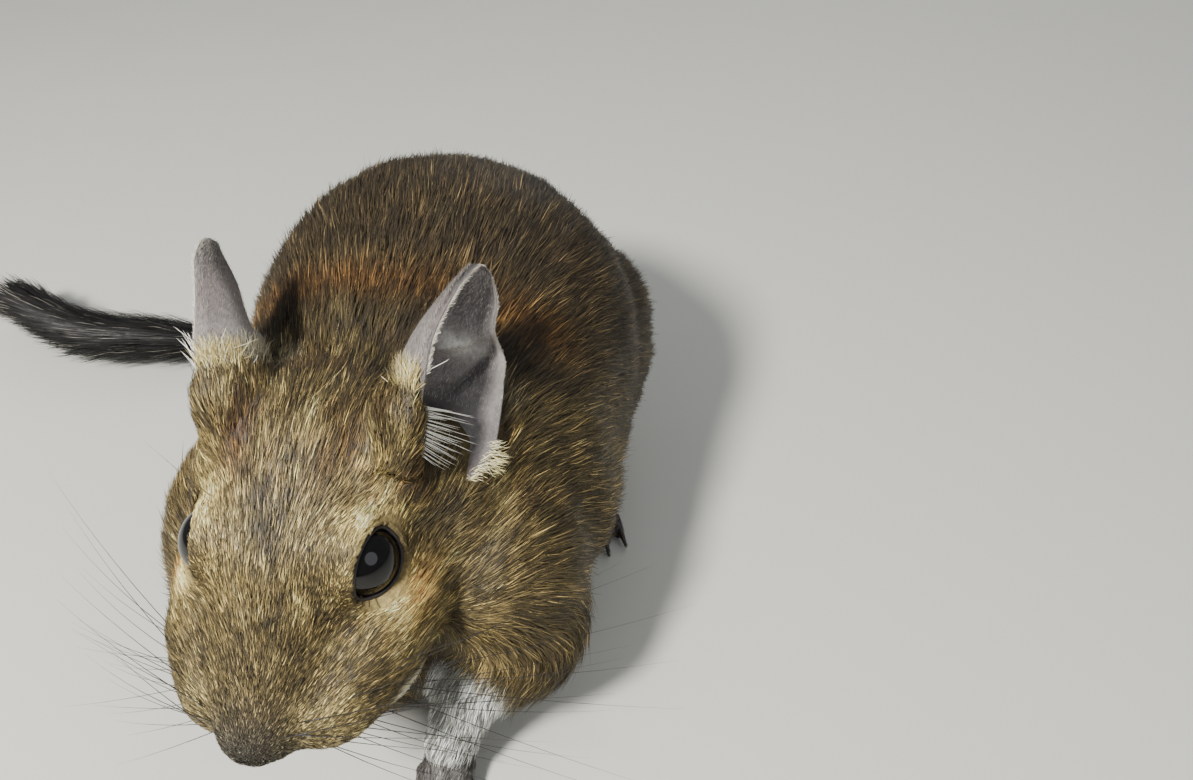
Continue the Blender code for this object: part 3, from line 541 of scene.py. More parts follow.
def ball_mesh(centre, radius, around=48, rows=32):
    """A closed ball of triangles."""
    points, triangles = [(0, 0, radius)], []
    for i in range(1, rows):
        lat = math.pi * i / rows
        for j in range(around):
            turn = 2 * math.pi * j / around
            points.append((radius * math.sin(lat) * math.cos(turn), radius * math.sin(lat) * math.sin(turn),
                           radius * math.cos(lat)))
    points.append((0, 0, -radius))
    last = len(points) - 1
    for j in range(around):
        k = (j + 1) % around
        triangles.append((0, 1 + j, 1 + k))
        triangles.append((last, last - around + k, last - around + j))
        for i in range(rows - 2):
            a = 1 + i * around
            triangles += [(a + j, a + around + j, a + k), (a + k, a + around + j, a + around + k)]
    return np.array(points) + np.array(centre), np.array(triangles)


def melted_skin():
    """One closed skin over all nodes of flesh and the ear roots, with the eye sockets filled."""
    parts = []
    for name in FLESH:
        points, normals, triangles = mesh_arrays(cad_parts[name].data)
        parts.append((points + normals * 0.2, triangles))
    for side in SIDES.values():
        points, triangles = ball_mesh((0, 0, 0), EYE_RADIUS + 0.25)
        parts.append((from_head(points + eye_frame(side)[0]), triangles))
    for key, side in SIDES.items():
        parts += ear_mound(key, side)
    obj = bpy.data.objects.new("melting", new_mesh("melting", *merged(parts)))
    bpy.context.scene.collection.objects.link(obj)
    melt = obj.modifiers.new("melt", "REMESH")
    melt.mode = "VOXEL"
    melt.voxel_size = SKIN_VOXEL * MM
    soften = obj.modifiers.new("soften", "SMOOTH")
    soften.factor = 0.5
    soften.iterations = 4
    thin = obj.modifiers.new("thin", "DECIMATE")
    graph = bpy.context.evaluated_depsgraph_get()
    thin.ratio = SKIN_TRIANGLES / (2.0 * len(obj.evaluated_get(graph).data.polygons))
    graph = bpy.context.evaluated_depsgraph_get()
    mesh = bpy.data.meshes.new_from_object(obj.evaluated_get(graph))
    bpy.data.objects.remove(obj)
    return mesh


class Surface:
    """The skin's points with what grows on them, each value smoothed along the surface."""

    def __init__(self, mesh):
        self.points, self.normals, self.triangles = mesh_arrays(mesh)
        self.edges = np.unique(np.sort(np.vstack([self.triangles[:, [0, 1]], self.triangles[:, [1, 2]],
                                                  self.triangles[:, [2, 0]]]), axis=1), axis=0)

    def smooth(self, values, rounds):
        """Values averaged with their neighbours' a number of times."""
        values = np.asarray(values, float)
        flat = values.ndim == 1
        values = values[:, None] if flat else values
        a, b = self.edges[:, 0], self.edges[:, 1]
        size = len(self.points)
        degree = np.bincount(a, minlength=size) + np.bincount(b, minlength=size)
        for _ in range(rounds):
            total = np.empty_like(values)
            for k in range(values.shape[1]):
                total[:, k] = (np.bincount(a, values[b, k], minlength=size)
                               + np.bincount(b, values[a, k], minlength=size))
            values = 0.5 * values + 0.5 * total / np.maximum(degree, 1)[:, None]
        return values[:, 0] if flat else values


def limb_lines():
    """The middle line of each limb as (kind, start, end), from the body outward."""
    lines = []
    for key, side in SIDES.items():
        x, y = FORE_WRIST[key]
        cuff = (x + side * 3.2, y + 4.5, 16)
        lines += [("forearm", (5.0 + side * 22.6, -34, 19), cuff), ("cuff", cuff, (x, y + 0.6, 6.0))]
        turn = math.radians(FORE_TURN[key])
        lines.append(("paw", (x, y, 3.0), (x + 11 * math.sin(turn), y - 11 * math.cos(turn), 1.5)))
        x, y = HIND_HEEL[key]
        turn, reach = math.radians(HIND_TURN[key]), HIND_FOOT_LENGTH
        lines.append(("foot", (x, y, 2.6), (x + reach * math.sin(turn), y - reach * math.cos(turn), 1.8)))
    return lines


LIMBS = limb_lines()
LIMB_REACH = {"forearm": 10.0, "cuff": 7.5, "paw": 6.5, "foot": 7.0}


def limb_share(points, kind):
    """How far points belong to one kind of limb, and its direction outward."""
    share = np.zeros(len(points))
    heading = np.zeros((len(points), 3))
    for name, start, end in LIMBS:
        if name == kind:
            away, _ = segment_distance(points, start, end)
            near = 1 - ramp(LIMB_REACH[kind] * 0.75, LIMB_REACH[kind] * 1.15, away)
            near = near * (1 - ramp(6.5, 8.5, points[:, 2])) if kind in ("paw", "foot") else near
            heading[near > share] = unit(np.array(end, float) - np.array(start, float))
            share = np.maximum(share, near)
    return share, heading


def regions(points):
    """How far each point belongs to the head, the tail and each kind of limb."""
    head = to_head(points)
    oval = np.sqrt((head[:, 0] / 25.0) ** 2 + (head[:, 1] / 29.0) ** 2 + ((head[:, 2] + 4.0) / 17.0) ** 2)
    away, share, _ = tail_place(points)
    found = {"face": 1 - ramp(0.98, 1.25, oval),
             "tail": (1 - ramp(5.5, 8.0, away)) * ramp(0.05, 0.14, share)}
    for kind in LIMB_REACH:
        found[kind] = limb_share(points, kind)[0]
    found["ear"], found["ear_share"], found["ear_way"], found["ear_inward"] = near_ears(points)
    return found


def hair_length(points):
    """The length of the coat in millimetres: short on the nose and feet, long on the back."""
    head = to_head(points)
    found = regions(points)
    face = np.interp(head[:, 1], *zip(*FACE_LENGTHS)) * (1 + 0.5 * ramp(-14, -20, head[:, 2]))
    for side in SIDES.values():
        away, _ = in_eye(head, side)
        face = face * (1 - 0.62 * np.where(np.sign(head[:, 0]) == side, 1 - ramp(5.6, 10.5, away), 0))
    length = 5.2 - 0.8 * (1 - ramp(8, 22, points[:, 2]))
    for kind, size in (("face", face), *LENGTHS.items()):
        length = length * (1 - found[kind]) + size * found[kind]
    return length


def hair_lie(points, normals):
    """The direction the coat lies in: back from the nose, along the body, and down each limb."""
    head = to_head(points)
    found = regions(points)
    face = head - (NOSE_TIP + np.array((0, -3.0, -1.0)))
    for side in SIDES.values():
        off = head - eye_frame(side)[0]
        near = (np.exp(-((np.linalg.norm(off, axis=1) - EYE_RADIUS) / 3.0) ** 2)
                * (np.sign(head[:, 0]) == side))
        radial, flow = unit(off), unit(face)
        face = flow - radial * ((flow * radial).sum(1) * near * 0.9)[:, None]
    y = points[:, 1]
    body = unit(np.stack([-2 * BOW_BEND * (y - BOW_PEAK_Y), np.ones(len(y)), np.zeros(len(y))], axis=1))
    aside = np.abs(points[:, 0] - spine_x(y)) / TRUNK_HALF_WIDTH
    body[:, 2] -= 0.15 + 0.55 * ramp(0.3, 1.0, aside) + 0.5 * ramp(38, 55, y)
    lie = mix(unit(body), unit(unit(face) @ HEAD_TURN.T), found["face"])
    for kind in LIMB_REACH:
        share, heading = limb_share(points, kind)
        lie = mix(lie, heading, share)
    lie = mix(lie, tail_place(points)[2], found["tail"])
    ear = 0.9 * found["ear"] * ramp(0.05, 0.25, found["ear_share"])
    return tangent(mix(lie, found["ear_way"], ear), normals)


def settle_skin(mesh):
    """Sinks the skin under the coat, shapes it round the eyes, and marks the points in their openings."""
    surface = Surface(mesh)
    points, normals = surface.points, unit(surface.smooth(surface.normals, 2))
    head = to_head(points)
    length = surface.smooth(hair_length(points), 12)
    depth = (length * DEPTH_SHARE + 0.1) * (1 - 0.7 * near_ears(points)[0])
    open_eye = np.zeros(len(points))
    for side in SIDES.values():
        away, edge = in_eye(head, side)
        mine = np.sign(head[:, 0]) == side
        open_eye[mine & (away < EYE_RADIUS + 1.6) & (edge < 1.0)] = 1
        depth = np.where(mine, depth * ramp(EYE_RADIUS + 0.5, EYE_RADIUS + 3.5, away), depth)
    moved = points - normals * depth[:, None]
    moved_head = to_head(moved)
    for side in SIDES.values():
        centre, _ = eye_frame(side)
        mine = np.sign(head[:, 0]) == side
        inside = mine & (open_eye > 0)
        moved_head[inside] = centre + unit(moved_head[inside] - centre) * (EYE_RADIUS - 0.45)
        off = moved_head - centre
        shallow = mine & (open_eye == 0) & (np.linalg.norm(off, axis=1) < EYE_RADIUS + 0.35)
        moved_head[shallow] = centre + unit(off[shallow]) * (EYE_RADIUS + 0.35)
    changed = np.abs(moved_head - to_head(moved)).max(1) > 1e-6
    moved[changed] = from_head(moved_head[changed])
    moved[:, 2] = np.maximum(moved[:, 2], 0.02)
    mesh.vertices.foreach_set("co", ((moved + SHIFT) * MM).astype(np.float32).ravel())
    mesh.update()
    return open_eye


# Markings, shared by the skin and the coat, with a painted sheen on the forehead and painted shade under the
# jaw

GOLD = linear(152, 131, 78)
# Silver-grey for a painted sheen on the forehead
SILVER_SHEEN = linear(150, 143, 128)
BUFF = linear(232, 208, 140)
CREAM = linear(240, 230, 198)
APRICOT = linear(206, 158, 88)
RUST = linear(138, 92, 44)
UMBER = linear(90, 79, 55)
SOOT = linear(34, 29, 24)
SLATE = linear(60, 54, 46)
BLACK = linear(14, 12, 11)
ASH = linear(184, 186, 180)
LEAD = linear(92, 89, 86)
VELVET = linear(76, 74, 67)


# Marks of the face, laid over each other in this order: colour, strength, centre and radii
FACE_MARKS = (
    (BUFF, 0.45, (7.5, -18.5, -6.5), (3.2, 3.0, 3.0)), (VELVET, 0.95, (0, -23.6, -5.0), (8.0, 4.8, 6.4)),
    (BUFF, 0.95, (10.6, 1.8, 4.6), (2.8, 3.0, 2.2)), (APRICOT, 0.95, (15.0, -2.6, -4.4), (2.8, 3.4, 2.2)),
    (BUFF, 0.9, (13.2, -4.6, -2.4), (2.2, 2.6, 1.8)), (SLATE, 0.85, (16.8, 6.4, -3.2), (3.4, 4.6, 4.0)),
    (RUST * 0.55, (0.4, 0.95), (6.8, 9.2, 7.4), (2.4, 5.0, 3.0)), (UMBER, 0.75, (20, 3, -12), (8, 9, 7)))
JAW_LINE = (14.6, -13.0, -11.5), (20.8, -6.0, -19.5), (23.4, -4.6, -18.8)


def face_colour(points, head, half, patchy, crown):
    """The colour of the head's hair bands: gold with dark and pale streaks, a silver-grey painted sheen on
    the forehead, the marks round the eyes, and painted shade under the jaw.
    """
    # Painted sheen: a silver-grey laid over the top of the forehead for the light it catches
    face = mix(GOLD, SILVER_SHEEN, 0.25 * spot(half, (3, 2, 8), (8, 9, 6)))
    face = mix(face, RUST, 0.42 * ramp(0.0, 0.6, patchy) * ramp(0, 8, head[:, 1]))
    face = mix(face, UMBER, 0.55 * crown)
    streak = points * np.array((1.0, 0.45, 0.8))
    face = mix(face, SOOT, 0.62 * ramp(0.12, 0.6, noise(streak, 1.5, 8)) * ramp(-20, -10, head[:, 1]))
    face = mix(face, BUFF * 0.85, 0.40 * ramp(0.15, 0.65, noise(streak, 1.7, 9)))
    face = mix(face, UMBER, 0.55 * ramp(-4, -14, head[:, 1]))
    for colour, strength, centre, radii in FACE_MARKS:
        left, right = strength if isinstance(strength, tuple) else (strength, strength)
        face = mix(face, colour, np.where(head[:, 0] < 0, right, left) * spot(half, centre, radii))
    # Painted shade under the jaw: below the jaw line the head turns nearly black for the shadow it casts on
    # the throat
    return mix(face, SOOT, 0.85 * ramp(-20.5, -24, head[:, 2]))


def markings(points):
    """For each point the coat's band colour, its undercoat and how many hairs have black tips."""
    head = to_head(points)
    found = regions(points)
    half = head.copy()
    half[:, 0] = np.abs(half[:, 0])
    patchy = noise(points, 3.6, 5)
    crown = ramp(7, 15, head[:, 1]) * ramp(-8, 0, head[:, 2])
    face = face_colour(points, head, half, patchy, crown)
    stripe = np.minimum(segment_distance(half, *JAW_LINE[:2])[0], segment_distance(half, *JAW_LINE[1:])[0])
    stripe = 1 - ramp(1.3, 3.0, stripe)
    pale = (spot(half, (14.2, -3.2, -3.4), (3.6, 4.4, 3)) + 0.9 * spot(half, (10.6, 1.8, 4.6), (3, 3.2, 3))
            + 0.9 * stripe)
    pale = np.clip(pale, 0, 1)
    rows = 0.5 + 0.5 * noise(points * np.array((1.0, 1.8, 1.0)), 5.0, 6)
    nape = ramp(-16, -4, head[:, 2])
    dark_band = np.exp(-((head[:, 1] - 29.5) / 3.0) ** 2) * nape
    rust_band = np.exp(-((head[:, 1] - 35.5) / 3.4) ** 2) * nape
    back = mix(UMBER, RUST, 0.14 * rows)
    for colour, share in ((BUFF, 0.45 * (1 - ramp(6, 16, points[:, 2]))),
                          (GOLD, 0.5 * ramp(46, 28, head[:, 1])),
                          (SOOT, 0.85 * dark_band), (RUST, 0.65 * rust_band)):
        back = mix(back, colour, share)
    limb = np.maximum(found["forearm"] * 0.5 * (1 - ramp(8, 14, points[:, 2])), found["cuff"])
    feet = np.maximum(found["paw"], found["foot"])
    tail = mix(UMBER, SOOT, ramp(0.2, 0.5, tail_place(points)[1]))
    stripe = stripe * ramp(0.1, 0.5, found["face"]) * (1 - found["forearm"])
    edge = found["ear"] * np.exp(-((found["ear_share"] - EAR_FUR_TOP + 0.02) / 0.05) ** 2)
    band = mix(back, face, found["face"])
    for colour, share in ((CREAM, 0.6 * stripe), (ASH, limb), (LEAD, feet), (tail, found["tail"]),
                          (CREAM, 0.2 * edge)):
        band = mix(band, colour, share)
    ticks = (0.66 + 0.16 * patchy + 0.14 * crown) * (1 - 0.9 * pale) * (1 - 0.3 * edge)
    ticks = ticks + (0.02 + 0.36 * (1 - rows)) * (1 - found["face"]) + 0.25 * dark_band - 0.1 * rust_band
    ticks = ticks * (1 - 0.8 * limb) * (1 - 0.6 * found["foot"]) * (1 - 0.6 * found["paw"])
    under = mix(SOOT, SLATE, 0.35 * found["face"] + 0.5 * limb)
    under = mix(mix(under, LEAD * 0.8, feet), BUFF * 0.7, 0.7 * pale * found["face"])
    return band, under, np.clip(ticks, 0.03, 0.92)


def make_skin():
    mesh = melted_skin()
    open_eye = settle_skin(mesh)
    surface = Surface(mesh)
    band, under, ticks = markings(surface.points)
    colour = mix(under, band, 0.38 * (1 - 0.5 * ticks))
    colour = surface.smooth(mix(colour, BLACK, open_eye * 0.9), 2)
    obj = add_piece("skin", mesh, colour, make_material("hide"), FLESH)
    unwrap(obj)
    return obj, surface, open_eye


def unwrap(obj):
    """An unwrap of the skin's own shape, kept as OFBake."""
    obj.data.uv_layers.new(name="OFBake")
    bpy.ops.object.select_all(action="DESELECT")
    obj.select_set(True)
    bpy.context.view_layer.objects.active = obj
    bpy.ops.object.mode_set(mode="EDIT")
    bpy.ops.mesh.select_all(action="SELECT")
    bpy.ops.uv.smart_project(angle_limit=math.radians(66), island_margin=0.002)
    bpy.ops.object.mode_set(mode="OBJECT")


# The coat


def point_tree(points):
    tree = KDTree(len(points))
    for i, p in enumerate(points):
        tree.insert(p, i)
    tree.balance()
    return tree


def nearest(tree, points):
    return np.fromiter((tree.find(p)[1] for p in points), np.int64, len(points))


class Field:
    """What a hair needs to know of the skin near it."""

    def __init__(self, obj, surface, open_eye):
        self.points = surface.points
        self.normals = unit(surface.smooth(surface.normals, 3))
        self.triangles = surface.triangles
        self.lie = tangent(surface.smooth(hair_lie(self.points, self.normals), 14), self.normals)
        self.length = surface.smooth(hair_length(self.points), 8)
        self.open_eye = open_eye
        self.regions = regions(self.points)
        mesh = obj.data
        uv = np.empty(len(mesh.loops) * 2, np.float32)
        mesh.uv_layers["OFBake"].data.foreach_get("uv", uv)
        loops = np.empty(len(mesh.loop_triangles) * 3, np.int32)
        mesh.calc_loop_triangles()
        mesh.loop_triangles.foreach_get("loops", loops)
        self.uv = uv.reshape(-1, 2)[loops].reshape(-1, 3, 2)
        a, b, c = (self.points[self.triangles[:, k]] for k in range(3))
        self.area = np.linalg.norm(np.cross(b - a, c - a), axis=1) / 2
        self.tree = point_tree(self.points)

    def at_triangles(self, values):
        return values[self.triangles].mean(1)

    def scatter(self, weight, count, draw):
        """Roots spread over the triangles by area and weight: their places and what the skin holds there."""
        share = self.area * np.maximum(weight, 0)
        chosen = draw.choice(len(share), count, p=share / share.sum())
        u, v = draw.random(count), draw.random(count)
        fold = u + v > 1
        u[fold], v[fold] = 1 - u[fold], 1 - v[fold]
        bary = np.stack([1 - u - v, u, v], axis=1)[..., None]
        corners = self.triangles[chosen]
        roots, normals, lie, length = (
            (values[corners] * bary).sum(1)
            for values in (self.points, self.normals, self.lie, self.length[:, None]))
        normals = unit(normals)
        return roots, normals, tangent(lie, normals), length[:, 0], (self.uv[chosen] * bary).sum(1)


def blade_piece(name, spine, sides, tints, uv, material, low, shade=None):
    """Flat tapered blades: a pair of points at each step of a spine and one at its tip."""
    count, levels = len(spine[0]), len(sides)
    per = 2 * levels + 1
    points = np.empty((count, per, 3))
    for k, side in enumerate(sides):
        points[:, 2 * k] = spine[k] - side
        points[:, 2 * k + 1] = spine[k] + side
    points[:, -1] = spine[-1]
    points[..., 2] = np.maximum(points[..., 2], low)
    pattern = [(2 * k + a, 2 * k + b, 2 * k + c) for k in range(levels - 1)
               for a, b, c in ((0, 1, 3), (0, 3, 2))] + [(per - 3, per - 2, per - 1)]
    triangles = (np.arange(count)[:, None, None] * per + np.array(pattern)[None]).reshape(-1, 3)
    mesh = new_mesh(name, points.reshape(-1, 3), triangles)
    if shade is not None:
        mesh.normals_split_custom_set_from_vertices(shade.reshape(-1, 3).astype(np.float32))
    offset = np.array([((j % 2) - 0.5, j // 2 / levels - 0.5) for j in range(per)]) * PATCH
    patch = (uv[:, None] + offset[None]).reshape(-1, 2)[triangles.ravel()]
    mesh.uv_layers.new(name="OFBake").data.foreach_set("uv", patch.astype(np.float32).ravel())
    tints = np.repeat(tints, 2, axis=1)[:, :per].reshape(-1, 3)
    return add_piece(name, mesh, tints, material)


def grow(field, name, material, weight, count, seed, width, lift, wild, clump):
    """A piece of coat: blades in two steps that follow the lie and the form of the skin."""
    draw = np.random.default_rng(seed)
    count = count
    roots, normals, lie, length, uv = field.scatter(weight, count, draw)
    length = length * draw.uniform(0.65, 1.25, count)
    across = np.cross(lie, normals)
    swing = 0.22 * noise(roots, 3.2, seed) + 0.16 * noise(roots, 9.0, seed + 1) + draw.normal(0, wild, count)
    direction = tangent(lie + across * swing[:, None], normals)
    rise = lift * (1 + 0.45 * noise(roots, 4.0, seed + 2) + draw.normal(0, 0.3, count))
    rise = np.clip(rise, 0.06, 0.9)
    spine, ups, place = [roots - normals * 0.12], [normals], roots.copy()
    for step in (0.5, 1.0):
        place = place + direction * (length / 2)[:, None]
        index = nearest(field.tree, place)
        up = field.normals[index]
        sunk = ((place - field.points[index]) * up).sum(1, keepdims=True)
        place = place - up * np.clip(sunk, -1.5, 1.5)
        direction = tangent(direction * 0.75 + field.lie[index] * 0.25, up)
        spine.append(place + up * (length * rise * step ** 0.85)[:, None])
        ups.append(up)
    leaders = draw.choice(count, max(count // 14, 1), replace=False)
    leader = leaders[nearest(point_tree(roots[leaders]), roots)]
    for k in (1, 2):
        pull = clump * (k / 2) ** 1.5
        aim = spine[k][leader] + (roots - roots[leader]) * 0.35
        near = np.linalg.norm(aim - spine[k], axis=1, keepdims=True) < length[:, None] * 0.5
        spine[k] = np.where(near, spine[k] * (1 - pull) + aim * pull, spine[k])
    for line in spine:
        line[:, 2] = np.maximum(line[:, 2], 0.05)
    roll = draw.uniform(-0.75, 0.75, count)
    wide = width * (1 + 0.25 * draw.normal(0, 1, count).clip(-2, 2))
    shade, sides = np.empty((count, 5, 3)), []
    for k, taper in enumerate((1.0, 0.62)):
        side = np.cross(unit(spine[k + 1] - spine[k]), ups[k])
        side = unit(side * np.cos(roll)[:, None] + ups[k] * np.sin(roll)[:, None]) * (wide * taper)[:, None]
        face = unit(np.cross(side, spine[k + 1] - spine[k]))
        face = face * np.sign((face * ups[k]).sum(1, keepdims=True) + 1e-9)
        shade[:, 2 * k] = shade[:, 2 * k + 1] = unit(ups[k] * 0.55 + face * 0.45)
        sides.append(side)
    shade[:, -1] = shade[:, -2]
    return blade_piece(name, spine, sides, agouti(roots, draw), uv, material, 0.03, shade)


def agouti(roots, draw):
    """Banded hairs: dark at the root, a coloured band, and a black or pale tip."""
    band, under, ticks = markings(roots)
    count = len(roots)
    patches = 0.42 * noise(roots, 1.5, 33) + 0.26 * noise(roots, 2.6, 31) + 0.16 * noise(roots, 7.0, 32)
    tone = np.exp(draw.normal(0, 0.36, count) + patches)
    ticked = draw.random(count) < ticks
    bright = (draw.random(count) < 0.28) & ~ticked
    gain = np.where(to_head(roots)[:, 1] < 24, 2.2, 1.35)[:, None]
    band = np.clip(band * tone[:, None], 0, 0.95)
    band[bright] = np.clip((band * gain)[bright], 0, 0.95)
    root = mix(under, band, 0.12) * draw.uniform(0.6, 1.1, (count, 1))
    tip = np.where(ticked[:, None], BLACK * draw.uniform(0.8, 3.0, (count, 1)), band * 1.15)
    return np.stack([root, mix(band, under, np.where(ticked, 0.62, 0.0)), tip], axis=1)


def make_coat(obj, surface, open_eye):
    """The whole coat in pieces, each kept below 200000 triangles."""
    field = Field(obj, surface, open_eye)
    fur = make_material("fur")
    middle = field.at_triangles(field.points)
    head = to_head(middle)
    found = {key: field.at_triangles(value) for key, value in field.regions.items()}
    facing = (field.at_triangles(field.normals) * found["ear_inward"]).sum(1)
    hollow = (found["ear"] > 0.99) & (facing > 0.35)
    shown = (field.at_triangles(open_eye) < 0.3) * ~hollow * (middle[:, 2] > 0.35)
    for side in SIDES.values():
        away, edge = in_eye(head, side)
        shown[(np.sign(head[:, 0]) == side) & (away < EYE_RADIUS + 2.0) & (edge < 1.12)] = 0
    feet = np.maximum(found["paw"], found["foot"])
    limbs = np.maximum.reduce([found["forearm"] * 0.6, found["cuff"], feet])
    face = found["face"] * (1 - limbs)
    neck = (1 - found["face"]) * ramp(46, 34, head[:, 1]) * (middle[:, 1] < -5) * (1 - limbs)
    trunk = (1 - found["face"]) * (1 - neck) * (1 - limbs) * (1 - found["tail"])
    dense = 1.0 + 1.6 * ramp(2, -22, head[:, 1])
    muzzle, left, y = head[:, 1] < -9.5, head[:, 0] >= 0, middle[:, 1]
    whole = (field.area * face * dense).sum()
    for n, (key, inside) in enumerate((("muzzle", muzzle), ("left", ~muzzle & left),
                                       ("right", ~muzzle & ~left))):
        count = int(HAIR_COUNTS["face"] * (field.area * face * dense * inside).sum() / whole)
        grow(field, "coat_face_" + key, fur, shown * face * dense * inside, count, 11 + n,
             0.062, 0.28, 0.15, 0.32)
    for n, (key, inside) in enumerate((("left", left), ("right", ~left))):
        count = HAIR_COUNTS["neck"] // 2
        grow(field, "coat_neck_" + key, fur, shown * neck * inside, count, 21 + n, 0.08, 0.28, 0.15, 0.4)
    for n, (key, inside) in enumerate((("front", y < 8), ("middle", (y >= 8) & (y < 30)), ("rear", y >= 30))):
        area = (field.area * trunk)[inside].sum() / (field.area * trunk).sum()
        count = min(int(HAIR_COUNTS["trunk"] * area), BLADES_IN_A_PIECE)
        grow(field, "coat_trunk_" + key, fur, shown * trunk * inside, count, 41 + n, 0.085, 0.30, 0.13, 0.45)
    grow(field, "coat_limbs", fur, shown * limbs * (1 + 1.6 * feet), HAIR_COUNTS["limbs"], 51,
         0.075, 0.2, 0.14, 0.3)
    grow(field, "coat_tail", fur, shown * found["tail"], HAIR_COUNTS["tail"], 61, 0.09, 0.2, 0.1, 0.3)
    return fur


# Eyes and lids


def make_eye(key, side, material):
    """A full dark eye, paler brown toward its rim and black over the pupil."""
    centre, axes = eye_frame(side)
    points, triangles = ball_mesh((0, 0, 0), EYE_RADIUS, 96, 64)
    off_axis = np.degrees(np.arccos(np.clip(points @ axes[2] / EYE_RADIUS, -1, 1)))
    bulge = 0.20 * np.clip(1 - (off_axis / 55.0) ** 2, 0, 1)
    points = points * (1 + bulge[:, None] / EYE_RADIUS)
    mesh = new_mesh("eye_ball_" + key, from_head(points + centre), triangles)
    colour = mix(linear(7, 6, 7), linear(14, 11, 9), ramp(34, 60, off_axis))
    return add_piece("eye_ball_" + key, mesh, colour, material, ["eye_" + key])


def make_lids(key, side, material):
    """The bare dark rim of the lids, as a ring round the almond of the eye."""
    centre, axes = eye_frame(side)
    size, around = 96, 10
    across, height = lid_edge(np.linspace(0, 2 * math.pi, size, endpoint=False))
    full = np.hypot(across, height)[:, None]
    v = np.linspace(0, 2 * math.pi, around, endpoint=False)
    spread = full + (0.30 * np.cos(v) + 0.10) / EYE_RADIUS
    local = np.stack([across[:, None] / full * np.sin(spread), height[:, None] / full * np.sin(spread),
                      np.cos(spread)], axis=2) * (EYE_RADIUS + 0.22 + 0.28 * np.sin(v))[:, None]
    points = (local @ axes).reshape(-1, 3) + centre
    triangles = []
    for i in range(size):
        for j in range(around):
            a, b = i * around + j, i * around + (j + 1) % around
            c, d = ((i + 1) % size) * around + j, ((i + 1) % size) * around + (j + 1) % around
            triangles += [(a, b, c), (b, d, c)]
    triangles = np.array(triangles) if side > 0 else np.array(triangles)[:, ::-1]
    mesh = new_mesh("lid_rim_" + key, from_head(points), triangles)
    colour = mix(linear(24, 21, 20), linear(46, 39, 35), 0.5 + 0.5 * noise(points, 1.2, 3))
    return add_piece("lid_rim_" + key, mesh, colour, material)


# Ears


def make_ear(key, side, material):
    """A thin cupped leaf with rolled margins, folds in its hollow and a notched rear edge, with painted
    highlights on its flap and lobe and painted shade in its crease and hollow.
    """
    rows, columns = 90, 90
    places, inward, t, s = ear_grid(key, rows, columns)
    edge = np.maximum(np.abs(s), ramp(0.9, 1.0, t) * 0.98)
    thick = EAR_THICKNESS * (0.9 - 0.62 * ramp(0.86, 1.0, edge))
    rim = 0.30 * np.exp(-((edge - 0.93) / 0.05) ** 2)
    faces = [places + inward * rim[..., None], places - inward * thick[..., None]]
    points = from_head(mirrored(np.vstack([face.reshape(-1, 3) for face in faces]), side))
    triangles = shell_triangles(rows, columns)
    mesh = new_mesh("ear_shell_" + key, points, triangles if side > 0 else triangles[:, ::-1])
    half, t, s = rows * columns, t.ravel(), s.ravel()
    where = np.stack([t, s], 1)
    grain = 0.5 + 0.5 * noise(points, 4.0, 9)
    line = 0.40 + 0.29 * ramp(0.3, 1.0, s)
    inside = mix(linear(112, 108, 106), linear(98, 88, 90), grain[:half])
    for colour, share in (
            # Painted highlight: the flap's upper face made near white for the light it catches
            (linear(196, 193, 188), 0.9 * spot(where, (0.63, 0.25), (0.05, 0.5))),
            # Painted shade along the crease under the flap
            (linear(40, 36, 36), 0.75 * np.exp(-((t - line) / 0.03) ** 2) * ramp(0.1, 0.5, s)),
            # Painted highlight on the lower lobe of the rear margin
            (linear(128, 124, 124), 0.7 * spot(where, (0.34, 0.8), (0.2, 0.3))),
            # Painted shade under the curled front margin near the top
            (linear(52, 48, 48), 0.8 * spot(where, (0.84, -0.2), (0.10, 0.5))),
            # Painted shade deep in the hollow at the ear's root
            (linear(30, 26, 25), ramp(0.46, 0.28, t) * ramp(0.75, 0.25, np.abs(s))),
            (linear(150, 146, 138), 0.7 * ramp(0.86, 1.0, np.abs(s)) * ramp(0.3, 0.5, t))):
        inside = mix(inside, colour, share)
    outside = mix(linear(126, 120, 118), linear(104, 94, 94), grain[half:])
    outside = mix(outside, linear(72, 70, 69), ramp(0.72, 0.95, t))
    outside = mix(outside, linear(150, 148, 143), 0.6 * spot(where, (0.5, 0.0), (0.1, 0.9)))
    return add_piece("ear_shell_" + key, mesh, np.vstack([inside, outside]), material, ["ear_" + key])


def free_blades(name, roots, tips, ups, widths, tints, material, bend, slot="fur"):
    """Single tapered blades from roots to tips, bowed toward their up direction."""
    middle = (roots + tips) / 2 + ups * (np.linalg.norm(tips - roots, axis=1) * bend)[:, None]
    spine = [roots, roots * 0.45 + middle * 0.75 - tips * 0.2,
             middle * 0.75 + tips * 0.45 - roots * 0.2, tips]
    side = unit(np.cross(tips - roots, ups))
    sides = [side * (widths * taper)[:, None] for taper in (0.9, 1.0, 0.6)]
    low, high = roots.min(0), roots.max(0)
    uv = 0.02 + 0.96 * ((roots - low) / np.maximum(high - low, 1e-6))[:, [0, 1]]
    return blade_piece(name, spine, sides, np.repeat(tints[:, None], 4, axis=1), uv, material, 0.05)


def ear_spots(key, side, t_range, s_range, count, outside, draw):
    """Random places on one face of an ear, with the directions along it, across it and out of it."""
    places, inward, t, _ = ear_grid(key, 120, 121)
    along, over = (unit(np.gradient(places, axis=axis)) for axis in (0, 1))
    i = np.searchsorted(t[:, 0], draw.uniform(*t_range, count)).clip(1, 118)
    j = ((draw.uniform(*s_range, count) + 1) / 2 * 120).astype(int).clip(0, 120)
    p, n = places[i, j], inward[i, j]
    if outside:
        p, n = p - n * EAR_THICKNESS * 0.85, -n
    turned = [mirrored(v, side) @ HEAD_TURN.T for v in (along[i, j], over[i, j], n)]
    return (from_head(mirrored(p, side)), *turned)


